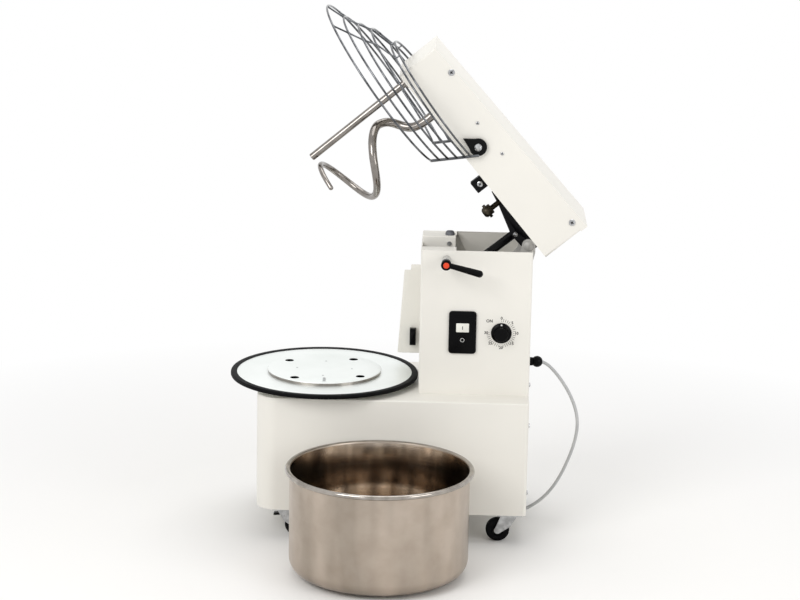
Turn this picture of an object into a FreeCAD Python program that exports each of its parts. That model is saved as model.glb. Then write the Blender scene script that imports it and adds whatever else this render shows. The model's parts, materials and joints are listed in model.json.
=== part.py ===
import FreeCAD, Part
import math
import os
import re

import Sketcher
from FreeCAD import Placement, Rotation, Vector

# Spiral dough mixer with a raised tilting head and a lift-off bowl, in millimetres.
# X runs from the bowl side to the rear of the column, Y across the machine, Z up.
# Pieces are placed from the turntable axis on the floor. At the end the machine is
# moved so that its origin is the bottom centre of its box without the mains cable.

doc = FreeCAD.newDocument("spiral_dough_mixer")
sheet = doc.addObject("Spreadsheet::Sheet", "sizes")

SIZES = {
    # base and column
    "base_front": 133.0, "base_rear": 431.4, "base_width": 317.0,
    "base_bottom": 62.0, "base_top": 304.0, "base_corner": 45.0,
    "rear_corner": 8.0, "sheet_metal": 2.0, "floor_plate": 4.0,
    "disc_radius": 198.4, "column_gap": 3.0, "column_front": "disc_radius+column_gap",
    "column_width": 194.0, "column_top": 610.0,
    "column_corner": 4.0, "lip_width": 35.0, "lip_length": 72.0,
    "notch_width": 150.0, "notch_depth": 38.0,
    "wing_low": 340.0, "wing_high": 535.0, "wing_step": 12.0, "wing_reach": 50.0,
    "wing_lean": 12.0, "wing_notch": 26.0, "wing_overlap": 90.0,
    "sensor_length": 13.0, "sensor_depth": 12.0, "sensor_height": 36.0, "sensor_low": 360.0,
    # turntable
    "disc_top": 321.0, "disc_sheet": 3.0,
    "rubber_width": 13.5, "rubber_height": 9.0, "rubber_lip": 1.5,
    "plate_radius": 120.0, "plate_thick": 6.0, "plate_pcd": 195.0,
    "plate_hole": 19.0, "plate_turn": -36.4, "spindle_radius": 15.0, "hub_radius": 42.0,
    "hub_drop": 40.0, "gearbox_length": 130.0, "gearbox_width": 110.0, "gearbox_height": 80.0,
    "motor_radius": 62.0, "motor_length": 170.0,
    # bowl
    "bowl_radius": 180.0, "bowl_sheet": 1.5, "bowl_depth": 213.0, "bowl_corner": 30.0,
    "bead_radius": 5.0, "foot_height": 7.0, "foot_radius": 128.0, "foot_width": 4.0,
    "stud_radius": 9.0, "stud_length": 6.0, "bowl_x": 132.5, "bowl_gap": 2.75,
    # head, raised from level about its pivot
    "head_raise": 50.1, "pivot_x": 422.7, "hinge_rise": 5.0,
    "pivot_height": "column_top+hinge_rise",
    "head_rise": 17.0, "head_rear": 34.0, "head_length": 479.5, "head_width": 188.0,
    "head_depth": 90.5, "cover_wedge": 16.0, "cover_sheet": 2.0,
    "hinge_radius": 8.0, "ear_thick": 6.0, "ear_middle": 55.0, "ear_radius": 14.0,
    "arm_thick": 6.0, "arm_middle": 47.0, "arm_front": 136.0, "arm_depth": 14.0,
    "bumper_radius": 10.0, "bumper_x": 259.5, "rest_rise": 13.0,
    "rest_top": "column_top+rest_rise", "rest_width": 38.0,
    "rest_length": 68.0, "rest_depth": 50.0,
    "block_length": 27.0, "block_thick": 16.0, "block_drop": 30.0, "block_front": 178.0,
    "block_middle": 46.0, "bolt_radius": 6.5, "bolt_head": 5.0, "bracket_drop": 46.0,
    "grip_radius": 11.0, "grip_neck": 25.0, "grip_drop": 45.0, "grip_bar": 30.0,
    "grip_back": 109.0,
    # tools
    "bar_inset": 27.5, "bar_back": "head_length-head_rear-bar_inset", "bar_radius": 7.75,
    "bar_drop": 260.0, "collar_radius": 13.0, "collar_height": 12.0, "tool_spacing": 88.0,
    "spiral_back": "bar_back-tool_spacing", "spiral_radius": 56.0, "spiral_rod": 9.5,
    "spiral_tip": 5.0, "spiral_start": 30.0, "spiral_turn_drop": 109.0, "spiral_bottom": 255.0,
    "spiral_shaft": 50.0,
    # guard
    "guard_offset": 97.0, "guard_back": "spiral_back-guard_offset", "guard_rise": 34.8,
    "guard_pitch": 3.15, "guard_drop": 93.1, "guard_ahead": 33.0, "guard_behind": 13.5,
    "guard_under": 9.3, "guard_break": 60.0,
    "wire_radius": 2.2, "rib_radius": 1.8, "rod_radius": 3.0,
    "bracket_thick": 4.0, "bracket_gap": 4.0, "bracket_radius": 18.0, "bracket_length": 31.0,
    "bracket_foot": 9.0, "bracket_lean": 50.1, "wing_screw": 5.0,
    # controls
    "switch_rise": 134.0, "switch_wide": 57.0, "switch_tall": 90.0, "switch_proud": 5.0,
    "switch_x": 290.3, "switch_z": "base_top+switch_rise",
    "start_wide": 27.0, "start_tall": 19.0, "start_up": 11.0,
    "stop_radius": 9.0, "stop_down": 15.0, "button_travel": 3.0, "button_proud": 4.0,
    "knob_radius": 21.5, "knob_skirt": 4.0, "knob_grip": 15.0, "knob_depth": 20.0,
    "knob_shaft": 4.0, "knob_x": 370.6,
    "lever_x": 254.0, "lever_low": 18.6, "lever_z": "column_top-lever_low",
    "lever_reach": 70.0, "lever_fall": 13.5,
    "lever_hub": 10.8, "lever_pin": 5.0, "lever_depth": 20.0, "lever_cap": 6.2,
    "lever_arm": 7.4, "collar_long": 38.0,
    # gas spring
    "spring_back": 34.7, "spring_drop": 7.4, "spring_length": 190.0, "spring_fall": 38.8,
    "spring_middle": 31.0, "spring_radius": 9.0, "spring_tube": 110.0, "spring_rod": 4.0,
    "spring_pin": 5.0, "spring_eye": 12.5, "spring_loose": 8.9, "spring_foot": 4.0,
    # castors
    "wheel_radius": 25.0, "wheel_width": 18.0, "castor_trail": 24.0,
    "castor_inset": 25.5, "castor_side": "base_width/2-castor_inset",
    "rear_inset": 33.9, "castor_rear_x": "base_rear-rear_inset",
    "front_inset": 62.0, "castor_front_x": "front_inset-base_front",
    "fork_sheet": 2.5, "king_pin": 5.0,
    "castor_plate": 3.0, "castor_long": 52.0, "castor_wide": 44.0, "axle_radius": 4.0,
    "pedal_pin": 1.5, "pedal_x": 10.5, "pedal_z": 49.5, "pedal_length": 35.0, "pedal_lean": 6.0,
    # screws
    "cover_screw": 7.0, "screw_head": 2.5,
    # mains cable
    "cable_radius": 3.5, "gland_rise": 49.5, "gland_height": "base_top+gland_rise",
    "gland_radius": 12.0, "gland_length": 30.0,
    "coil_middle": 38.5, "coil_height": 21.0, "coil_x": 300.0, "coil_y": 212.0,
    "plug_offset": 16.0, "plug_neck": 30.0, "plug_length": 36.0, "plug_wide": 36.0,
    "plug_deep": 17.0, "plug_pin": 2.4, "plug_pin_length": 19.0, "plug_spacing": 19.0,
    # clearances
    "running": 0.05, "seat": 0.3, "free": 1.0,
}
for row, (alias, value) in enumerate(SIZES.items(), start=1):
    sheet.set("A%d" % row, alias)
    sheet.set("B%d" % row, "=" + value if isinstance(value, str) else repr(value))
    sheet.setAlias("B%d" % row, alias)
doc.recompute()

NODES = {}
CORD_NODES = ("power_cable", "power_cable_coil", "mains_plug")
LEVEL = Rotation()
ACROSS = Rotation(Vector(1, 0, 0), -90)      # turns +Z to +Y
ALONG = Rotation(Vector(0, 1, 0), 90)        # turns +Z to +X


def bound(text):
    """The text of an expression with each size name written as a cell of the sheet."""
    return re.sub(r"[a-z]\w*", lambda m: "sizes." + m.group() if m.group() in SIZES else m.group(),
                  str(text))


def val(text):
    """The value of an arithmetic expression made of size names and numbers."""
    numbers = re.sub(r"[a-z]\w*", lambda m: "(%r)" % float(sheet.get(m.group())), str(text))
    return FreeCAD.Units.Quantity(numbers).Value


def at(x, y, z, turn=LEVEL):
    return Placement(Vector(val(x), val(y), val(z)), turn)


def keep(label, obj, place=None):
    """Name a finished piece and put it in its place."""
    obj.Label = label
    NODES[label] = obj
    if place is not None:
        obj.Placement = place.multiply(obj.Placement)
    return obj


def primitive(kind, place, **sizes):
    obj = doc.addObject("Part::" + kind, kind.lower())
    for prop, text in sizes.items():
        obj.setExpression(prop, bound(text))
    obj.Placement = place
    return obj


def box(x, y, z, length, width, height):
    """A block from its lowest corner."""
    return primitive("Box", at(x, y, z), Length=length, Width=width, Height=height)


def rod(place, radius, height):
    return primitive("Cylinder", place, Radius=radius, Height=height)


def fuse(*pieces):
    obj = doc.addObject("Part::MultiFuse", "joined")
    obj.Shapes = list(pieces)
    return obj


def cut(base, *tools):
    obj = doc.addObject("Part::Cut", "cut")
    obj.Base = base
    obj.Tool = tools[0] if len(tools) == 1 else fuse(*tools)
    return obj


def solid(label, shape, place=None):
    """A piece whose shape is worked out from the sheet's values."""
    obj = doc.addObject("Part::Feature", label)
    obj.Shape = shape
    return keep(label, obj, place)


def new_body(name):
    return doc.addObject("PartDesign::Body", name)


def sketch(body, role, offset="0"):
    item = body.newObject("Sketcher::SketchObject", "sketch")
    plane = [f for f in body.Origin.OriginFeatures if f.Role == role][0]
    item.AttachmentSupport = (plane, [""])
    item.MapMode = "FlatFace"
    item.setExpression(".AttachmentOffset.Base.z", bound(offset))
    return item


def outline(item, points):
    """A closed outline of straight lines through points given as expressions."""
    first = item.GeometryCount
    places = [Vector(val(x), val(y), 0) for x, y in points]
    for start, end in zip(places, places[1:] + places[:1]):
        item.addGeometry(Part.LineSegment(start, end))
    for index, (x, y) in enumerate(points):
        following = first + (index + 1) % len(points)
        item.addConstraint(Sketcher.Constraint("Coincident", first + index, 2, following, 1))
    for index, point in enumerate(points):
        for kind, text in zip(("DistanceX", "DistanceY"), point):
            dimension = Sketcher.Constraint(kind, -1, 1, first + index, 1, val(text))
            number = item.addConstraint(dimension)
            item.setExpression("Constraints[%d]" % number, bound(text))


def circle(item, x, y, radius):
    number = item.addGeometry(Part.Circle(Vector(val(x), val(y), 0), Vector(0, 0, 1), val(radius)))
    for kind, text, target in (("DistanceX", x, 3), ("DistanceY", y, 3)):
        index = item.addConstraint(Sketcher.Constraint(kind, -1, 1, number, target, val(text)))
        item.setExpression("Constraints[%d]" % index, bound(text))
    index = item.addConstraint(Sketcher.Constraint("Radius", number, val(radius)))
    item.setExpression("Constraints[%d]" % index, bound(radius))


def extrude(body, kind, item, length, reverse=False, middle=False):
    """A Pad or Pocket of a sketch, one way or to both sides."""
    feature = body.newObject("PartDesign::" + kind, kind.lower())
    feature.Profile = item
    feature.setExpression("Length", bound(length))
    feature.Reversed = reverse
    if middle:
        feature.SideType = "Symmetric"
    doc.recompute()
    return feature


def rectangle(x1, y1, x2, y2):
    return [(x1, y1), (x2, y1), (x2, y2), (x1, y2)]


def round_edges(body, feature, radius, chosen):
    edges = ["Edge%d" % (i + 1) for i, edge in enumerate(feature.Shape.Edges) if chosen(edge)]
    fillet = body.newObject("PartDesign::Fillet", "rounding")
    fillet.Base = (feature, edges)
    fillet.setExpression("Radius", bound(radius))
    doc.recompute()
    return fillet


def upright(edge):
    return abs(edge.tangentAt(edge.FirstParameter).z) > 0.99


def middle_of(edge):
    return edge.valueAt((edge.FirstParameter + edge.LastParameter) / 2)


def revolve(body, points):
    """A full turn about Z of an outline drawn in X and Z."""
    item = sketch(body, "XZ_Plane")
    outline(item, points)
    feature = body.newObject("PartDesign::Revolution", "turned")
    feature.Profile = item
    feature.ReferenceAxis = (item, ["V_Axis"])
    feature.Angle = 360
    doc.recompute()
    return feature


# ---------------------------------------------------------------- base and column

def base_shell():
    body = new_body("base_shell_body")
    plan = sketch(body, "XY_Plane", "base_bottom")
    outline(plan, rectangle("-base_front", "-base_width/2", "base_rear", "base_width/2"))
    block = extrude(body, "Pad", plan, "base_top-base_bottom")
    front = round_edges(body, block, "base_corner",
                        lambda e: upright(e) and middle_of(e).x < 0)
    rear = round_edges(body, front, "rear_corner",
                       lambda e: upright(e) and middle_of(e).x > val("base_rear-1"))
    top = round_edges(body, rear, "sheet_metal*1.5",
                      lambda e: middle_of(e).z > val("base_top-0.1"))
    under = [i for i, face in enumerate(top.Shape.Faces)
             if face.CenterOfMass.z < val("base_bottom+0.1")][0]
    hollow = body.newObject("PartDesign::Thickness", "hollow")
    hollow.Base = (top, ["Face%d" % (under + 1)])
    hollow.setExpression("Value", bound("sheet_metal"))
    hollow.Reversed = True
    doc.recompute()
    holes = sketch(body, "XY_Plane", "base_top")
    circle(holes, "0", "0", "hub_radius+seat")
    outline(holes, rectangle("column_front+lip_width", "-column_width/4",
                             "base_rear-lip_width", "column_width/4"))
    extrude(body, "Pocket", holes, "sheet_metal*2")
    keep("base_shell", body)


def base_floor():
    body = new_body("base_floor_body")
    plan = sketch(body, "XY_Plane", "base_bottom")
    inset = "(sheet_metal+seat)"
    outline(plan, rectangle("-base_front+" + inset, "-base_width/2+" + inset,
                            "base_rear-" + inset, "base_width/2-" + inset))
    plate = extrude(body, "Pad", plan, "floor_plate")
    front = round_edges(body, plate, "base_corner-sheet_metal",
                        lambda e: upright(e) and middle_of(e).x < 0)
    round_edges(body, front, "rear_corner-sheet_metal",
                lambda e: upright(e) and middle_of(e).x > val("base_rear-9"))
    keep("base_floor", body)


def column_shell():
    body = new_body("column_shell_body")
    plan = sketch(body, "XY_Plane", "base_top")
    outline(plan, rectangle("column_front", "-column_width/2", "base_rear", "column_width/2"))
    block = extrude(body, "Pad", plan, "column_top-base_top")
    round_edges(body, block, "column_corner", upright)
    inside = sketch(body, "XY_Plane", "base_top")
    outline(inside, rectangle("column_front+sheet_metal", "-column_width/2+sheet_metal",
                              "base_rear-sheet_metal", "column_width/2-sheet_metal"))
    extrude(body, "Pocket", inside, "column_top-base_top-sheet_metal", reverse=True)
    mouth = sketch(body, "XY_Plane", "column_top")
    side, slot = "(column_width/2-sheet_metal)", "(column_width/2-lip_width)"
    outline(mouth, [("column_front+sheet_metal", "-" + slot), ("column_front+lip_length", "-" + slot),
                    ("column_front+lip_length", "-" + side), ("base_rear-sheet_metal", "-" + side),
                    ("base_rear-sheet_metal", side), ("column_front+lip_length", side),
                    ("column_front+lip_length", slot), ("column_front+sheet_metal", slot)])
    extrude(body, "Pocket", mouth, "sheet_metal*2")
    notch = sketch(body, "YZ_Plane", "base_rear")
    outline(notch, rectangle("-notch_width/2", "column_top-notch_depth",
                             "notch_width/2", "column_top+free"))
    extrude(body, "Pocket", notch, "sheet_metal*2")
    gland = sketch(body, "YZ_Plane", "base_rear")
    circle(gland, "0", "gland_height", "gland_radius*0.7")
    extrude(body, "Pocket", gland, "sheet_metal*2")
    face = sketch(body, "XZ_Plane", "column_width/2")
    circle(face, "lever_x", "lever_z", "lever_pin+running")
    circle(face, "knob_x", "switch_z", "knob_shaft+running")
    outline(face, rectangle("switch_x-switch_wide*0.4", "switch_z-switch_tall*0.42",
                            "switch_x+switch_wide*0.4", "switch_z+switch_tall*0.42"))
    extrude(body, "Pocket", face, "sheet_metal*2")
    keep("column_shell", body)


def side_wing():
    """The sheet on the far side of the column that reaches past it towards the bowl."""
    body = new_body("side_wing_body")
    side = sketch(body, "XZ_Plane")
    tip, top = "(column_front-wing_reach)", "(wing_high-wing_step)"
    outline(side, [(tip, "wing_low"), ("column_front+wing_overlap", "wing_low"),
                   ("column_front+wing_overlap", "wing_high"),
                   (tip + "+wing_notch", "wing_high"), (tip + "+wing_notch", top),
                   (tip + "+wing_lean", top)])
    sheet_pad = extrude(body, "Pad", side, "sheet_metal", reverse=True)
    round_edges(body, sheet_pad, "sheet_metal",
                lambda e: abs(e.tangentAt(e.FirstParameter).y) > 0.99)
    keep("side_wing", body, at(0, "column_width/2", 0))
    case = box("column_front-wing_reach+wing_notch", "column_width/2-sensor_depth", "sensor_low",
               "sensor_length", "sensor_depth", "sensor_height")
    nib = rod(at("column_front-wing_reach+wing_notch+sensor_length/2",
                 "column_width/2-sensor_depth-sheet_metal*2", "sensor_low+sensor_height/2", ACROSS),
              "sheet_metal", "sheet_metal*2")
    keep("bowl_switch", fuse(case, nib))


def rest_bracket():
    """The channel at the column's front that the level head comes down on."""
    body = new_body("rest_bracket_body")
    end = sketch(body, "YZ_Plane", "column_front+sheet_metal")
    half, wall = "rest_width/2", "(rest_width/2-sheet_metal*1.5)"
    low, high = "(column_top-rest_depth)", "rest_top"
    outline(end, [("-" + half, low), ("-" + wall, low), ("-" + wall, high + "-sheet_metal*1.5"),
                  (wall, high + "-sheet_metal*1.5"), (wall, low), (half, low), (half, high),
                  ("-" + half, high)])
    channel = extrude(body, "Pad", end, "rest_length")
    round_edges(body, channel, "sheet_metal",
                lambda e: middle_of(e).z > val("rest_top-0.1") and abs(e.tangentAt(0).x) > 0.9)
    keep("rest_bracket", body)
    bumper = new_body("rest_bumper_body")
    plan = sketch(bumper, "XY_Plane")
    circle(plan, "0", "0", "bumper_radius")
    dome = extrude(bumper, "Pad", plan, "pivot_height+head_rise-seat-rest_top")
    round_edges(bumper, dome, "bumper_radius*0.6",
                lambda e: middle_of(e).z > val("pivot_height+head_rise-rest_top")/2)
    keep("rest_bumper", bumper, at("bumper_x", 0, "rest_top"))


def hinge_bracket():
    """Two ears on a back plate that is bolted inside the column's rear wall."""
    body = new_body("hinge_bracket_body")
    rear = "(base_rear-sheet_metal-pivot_x)"
    half = "(ear_middle+ear_thick/2)"
    sill = "(column_top-notch_depth-pivot_height)"
    back = sketch(body, "XY_Plane", sill + "-bracket_drop")
    outline(back, rectangle(rear + "-ear_thick", "-" + half, rear, half))
    extrude(body, "Pad", back, "bracket_drop")
    for sign in ("-", ""):
        cheek = sketch(body, "XZ_Plane", sign + "ear_middle")
        outline(cheek, [(rear, sill + "-bracket_drop"), (rear, sill), ("ear_radius", "-ear_radius"),
                        ("ear_radius*0.99", "0"), ("-ear_radius*0.99", "0"),
                        ("-ear_radius*1.5", "-ear_radius*2"), ("-ear_radius*2.5", sill),
                        ("-ear_radius*2.5", sill + "-bracket_drop")])
        extrude(body, "Pad", cheek, "ear_thick", middle=True)
        boss = sketch(body, "XZ_Plane", sign + "ear_middle")
        circle(boss, "0", "0", "ear_radius")
        extrude(body, "Pad", boss, "ear_thick", middle=True)
    bore = sketch(body, "XZ_Plane")
    circle(bore, "0", "0", "hinge_radius+running")
    extrude(body, "Pocket", bore, "ear_middle*4", middle=True)
    keep("hinge_bracket", body, at("pivot_x", 0, "pivot_height"))
    reach = "(ear_middle+ear_thick/2)"
    pin = rod(at(0, "-" + reach, 0, ACROSS), "hinge_radius", reach + "*2")
    caps = [rod(at(0, place, 0, ACROSS), "hinge_radius+sheet_metal", "sheet_metal")
            for place in ("-" + reach + "-sheet_metal", reach)]
    keep("hinge_pin", fuse(pin, *caps), at("pivot_x", 0, "pivot_height"))


def spring_points():
    """The gas spring's upper pin on the raised head, and its lower pin in the column."""
    turn = Rotation(Vector(0, 1, 0), val("head_raise"))
    upper = turn.multVec(Vector(-val("spring_back"), 0, -val("spring_drop")))
    upper += Vector(val("pivot_x"), 0, val("pivot_height"))
    fall = math.radians(val("spring_fall"))
    lower = upper - Vector(math.cos(fall), 0, math.sin(fall)) * val("spring_length")
    return upper, lower


def spring_stud():
    _, lower = spring_points()
    wall = "(column_width/2-sheet_metal)"
    stud = rod(at(lower.x, "-" + wall, lower.z, ACROSS), "spring_foot",
               wall + "-spring_middle+spring_radius")
    flange = rod(at(lower.x, "-" + wall, lower.z, ACROSS), "spring_radius*2", "spring_foot")
    keep("spring_stud", fuse(stud, flange))


# ---------------------------------------------------------------- turntable and bowl

def turntable():
    disc = new_body("turntable_disc_body")
    edge = "(disc_radius-rubber_width/3)"
    plan = sketch(disc, "XY_Plane", "disc_top-disc_sheet")
    circle(plan, "0", "0", edge)
    circle(plan, "0", "0", "spindle_radius+running")
    extrude(disc, "Pad", plan, "disc_sheet")
    keep("turntable_disc", disc)
    rubber = new_body("turntable_rim_body")
    inner, low = "(disc_radius-rubber_width)", "(disc_top+rubber_lip-rubber_height)"
    revolve(rubber, [(inner, "disc_top"), (inner, "disc_top+rubber_lip*0.6"),
                     (inner + "+rubber_lip", "disc_top+rubber_lip"),
                     ("disc_radius-rubber_lip", "disc_top+rubber_lip"), ("disc_radius", "disc_top"),
                     ("disc_radius", low + "+rubber_lip"), ("disc_radius-rubber_lip", low),
                     (edge, low), (edge, "disc_top")])
    keep("turntable_rim", rubber)


def bowl_plate():
    body = new_body("bowl_plate_body")
    plan = sketch(body, "XY_Plane")
    circle(plan, "0", "0", "plate_radius")
    pad = extrude(body, "Pad", plan, "plate_thick")
    round_edges(body, pad, "sheet_metal/2", lambda e: middle_of(e).z > val("plate_thick") / 2)
    hole = sketch(body, "XY_Plane", "plate_thick")
    circle(hole, "plate_pcd/2", "0", "plate_hole/2")
    pocket = extrude(body, "Pocket", hole, "plate_thick*2")
    ring = body.newObject("PartDesign::PolarPattern", "four_holes")
    ring.Originals = [pocket]
    ring.Axis = (hole, ["N_Axis"])
    ring.Angle = 360
    ring.Occurrences = 4
    body.Tip = ring
    pin = sketch(body, "XY_Plane", "plate_thick")
    outline(pin, rectangle("-plate_hole/6", "-plate_pcd/2-plate_hole/4",
                           "plate_hole/6", "-plate_pcd/2+plate_hole/4"))
    slot = extrude(body, "Pocket", pin, "plate_thick/2")
    body.Tip = slot
    keep("bowl_plate", body, at(0, 0, "disc_top", Rotation(Vector(0, 0, 1), val("plate_turn"))))


def turntable_drive():
    spindle = new_body("turntable_spindle_body")
    top = "disc_top-disc_sheet"
    low = "(base_top-hub_drop-gearbox_height/2)"
    revolve(spindle, [("0", low), ("spindle_radius", low), ("spindle_radius", top + "-plate_thick"),
                      ("hub_radius", top + "-plate_thick"), ("hub_radius", top),
                      ("spindle_radius", top), ("spindle_radius", "disc_top"), ("0", "disc_top")])
    keep("turntable_spindle", spindle)
    hub = new_body("turntable_hub_body")
    bore, low = "spindle_radius+running", "base_top-hub_drop"
    revolve(hub, [(bore, low), ("hub_radius", low), ("hub_radius", "base_top"),
                  ("hub_radius*1.4", "base_top"), ("hub_radius*1.4", "base_top+sheet_metal*2"),
                  ("hub_radius*0.7", "base_top+sheet_metal*2"),
                  ("hub_radius*0.7", top + "-plate_thick-free"), (bore, top + "-plate_thick-free")])
    keep("turntable_hub", hub)
    case = box("-gearbox_length/2", "-gearbox_width/2", "base_top-hub_drop-gearbox_height",
               "gearbox_length", "gearbox_width", "gearbox_height")
    well = rod(at(0, 0, "base_top-hub_drop-gearbox_height/2-free"), "spindle_radius+running",
               "gearbox_height")
    keep("turntable_gearbox", cut(case, well))
    middle = "base_top-hub_drop-gearbox_height/2"
    start = at("gearbox_length/2", 0, middle, ALONG)
    flange = rod(start, "motor_radius*0.8", "sheet_metal*6")
    frame = rod(at("gearbox_length/2+sheet_metal*6", 0, middle, ALONG), "motor_radius", "motor_length")
    wiring = box("gearbox_length/2+motor_length*0.4", "-motor_radius*0.45",
                 middle + "-motor_radius*1.35", "motor_length/3", "motor_radius*0.9", "motor_radius")
    keep("turntable_motor", fuse(flange, frame, wiring))


def bowl():
    """A deep drawn bowl with a rolled rim and a foot ring."""
    outer, wall = val("bowl_radius"), val("bowl_sheet")
    foot, corner, bead = val("foot_height"), val("bowl_corner"), val("bead_radius")
    depth = val("bowl_depth")
    base, top = foot, foot + wall + depth
    slant = math.sqrt(0.5)

    def wall_profile(radius, bottom, bend):
        return [Part.LineSegment(Vector(0, 0, bottom), Vector(radius - bend, 0, bottom)).toShape(),
                Part.Arc(Vector(radius - bend, 0, bottom),
                         Vector(radius - bend + bend * slant, 0, bottom + bend - bend * slant),
                         Vector(radius, 0, bottom + bend)).toShape(),
                Part.LineSegment(Vector(radius, 0, bottom + bend), Vector(radius, 0, top)).toShape()]

    outside = wall_profile(outer, base, corner)
    inside = wall_profile(outer - wall, base + wall, corner - wall)
    lid = Part.LineSegment(Vector(outer - wall, 0, top), Vector(outer, 0, top)).toShape()
    axis = Part.LineSegment(Vector(0, 0, base), Vector(0, 0, base + wall)).toShape()
    profile = Part.Face(Part.Wire(Part.__sortEdges__(outside + [lid] + inside + [axis])))
    shell = profile.revolve(Vector(0, 0, 0), Vector(0, 0, 1), 360)
    rim = Part.makeTorus(outer - wall / 2 + bead, bead, Vector(0, 0, top - bead), Vector(0, 0, 1))
    ring_in = val("foot_radius-foot_width")
    ring = Part.makeCylinder(val("foot_radius"), foot + wall / 2)
    ring = ring.cut(Part.makeCylinder(ring_in, foot + wall))
    shape = shell.fuse([rim, ring]).removeSplitter()
    clear = "-(base_width/2+bowl_radius-bowl_sheet/2+bead_radius*2+bowl_gap)"
    place = at("bowl_x", clear, 0)
    solid("bowl", shape, place)
    studs = []
    for index in range(4):
        turn = math.radians(90 * index + val("plate_turn"))
        centre = Vector(math.cos(turn), math.sin(turn), 0) * val("plate_pcd/2")
        centre.z = foot - val("stud_length")
        studs.append(Part.makeCylinder(val("stud_radius"), val("stud_length"), centre))
    solid("bowl_studs", Part.makeCompound(studs), place)


# ---------------------------------------------------------------- head and tools

HEAD = at("pivot_x", 0, "pivot_height", Rotation(Vector(0, 1, 0), val("head_raise")))
HEAD_FRONT = "(head_rear-head_length)"
HEAD_TOP = "(head_rise+head_depth)"


def head_shell():
    body = new_body("head_shell_body")
    plan = sketch(body, "XY_Plane", "head_rise")
    outline(plan, rectangle(HEAD_FRONT, "-head_width/2", "head_rear", "head_width/2"))
    block = extrude(body, "Pad", plan, "head_depth")
    round_edges(body, block, "column_corner", upright)
    inside = sketch(body, "XY_Plane", HEAD_TOP)
    outline(inside, rectangle(HEAD_FRONT + "+sheet_metal", "-head_width/2+sheet_metal",
                              "head_rear-sheet_metal", "head_width/2-sheet_metal"))
    extrude(body, "Pocket", inside, "head_depth-sheet_metal")
    under = sketch(body, "XY_Plane", "head_rise+sheet_metal")
    circle(under, "-bar_back", "0", "bar_radius")
    circle(under, "-spiral_back", "0", "spiral_rod+free")
    extrude(body, "Pocket", under, "sheet_metal*2")
    keep("head_shell", body, HEAD)


def head_cover():
    body = new_body("head_cover_body")
    side = sketch(body, "XZ_Plane")
    outline(side, [(HEAD_FRONT, HEAD_TOP), ("head_rear+cover_sheet", HEAD_TOP),
                   ("head_rear+cover_sheet", HEAD_TOP + "+cover_wedge"),
                   (HEAD_FRONT, HEAD_TOP + "+cover_sheet")])
    wedge = extrude(body, "Pad", side, "head_width", middle=True)
    under = sketch(body, "XZ_Plane")
    outline(under, [(HEAD_FRONT + "+head_length/3", HEAD_TOP), ("head_rear", HEAD_TOP),
                    ("head_rear", HEAD_TOP + "+cover_wedge-cover_sheet")])
    extrude(body, "Pocket", under, "head_width-cover_sheet*2", middle=True)
    keep("head_cover", body, HEAD)


def head_arms():
    body = new_body("head_arms_body")
    for sign in ("-", ""):
        plate = sketch(body, "XZ_Plane", sign + "arm_middle")
        outline(plate, [("-arm_front", "head_rise"), ("-arm_front", "head_rise-arm_depth/2"),
                        ("-arm_front*0.75", "head_rise-arm_depth"),
                        ("-spring_back-ear_radius/2", "-spring_drop-ear_radius/2"),
                        ("-spring_back+ear_radius/2", "-spring_drop-ear_radius/2"),
                        ("0", "-ear_radius*0.9"), ("ear_radius*0.95", "0"), ("ear_radius", "head_rise")])
        extrude(body, "Pad", plate, "arm_thick", middle=True)
        boss = sketch(body, "XZ_Plane", sign + "arm_middle")
        circle(boss, "0", "0", "ear_radius")
        extrude(body, "Pad", boss, "arm_thick", middle=True)
    bore = sketch(body, "XZ_Plane")
    circle(bore, "0", "0", "hinge_radius+running")
    circle(bore, "-spring_back", "-spring_drop", "spring_pin")
    extrude(body, "Pocket", bore, "arm_middle*4", middle=True)
    tie = sketch(body, "XY_Plane", "head_rise-sheet_metal*2")
    outline(tie, rectangle("-arm_front", "-arm_middle", "-arm_front*0.7", "arm_middle"))
    extrude(body, "Pad", tie, "sheet_metal*2")
    keep("head_arms", body, HEAD)
    pin = rod(at("-spring_back", "-arm_middle-arm_thick/2", "-spring_drop", ACROSS), "spring_pin",
              "arm_middle+arm_thick/2-spring_middle+spring_radius")
    keep("spring_bolt", pin, HEAD)


def catch_block():
    body = new_body("catch_block_body")
    side = sketch(body, "XZ_Plane")
    outline(side, rectangle("-block_front", "head_rise-block_drop", "-block_front+block_length",
                            "head_rise"))
    pad = extrude(body, "Pad", side, "block_thick", middle=True)
    round_edges(body, pad, "sheet_metal",
                lambda e: abs(e.tangentAt(e.FirstParameter).y) > 0.99
                and middle_of(e).z < val("head_rise-1"))
    keep("catch_block", body, HEAD.multiply(at(0, "-block_middle", 0)))


def adjuster_knob():
    """The turned knob under the near arm, with a bar through it."""
    body = new_body("adjuster_knob_body")
    neck = "(grip_radius/2)"
    revolve(body, [("0", "-grip_drop"), ("grip_radius*0.7", "-grip_drop"),
                   ("grip_radius", "-grip_drop+grip_radius*0.3"), ("grip_radius", "-grip_neck"),
                   (neck, "-grip_neck"), (neck, "0"), ("0", "0")])
    cross = sketch(body, "YZ_Plane", "-grip_bar/2")
    circle(cross, "0", "(grip_neck-grip_drop)/2-grip_neck", "grip_radius*0.3")
    extrude(body, "Pad", cross, "grip_bar")
    keep("adjuster_knob", body,
         HEAD.multiply(at("-grip_back", "-arm_middle", "head_rise-sheet_metal*2")))


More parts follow.
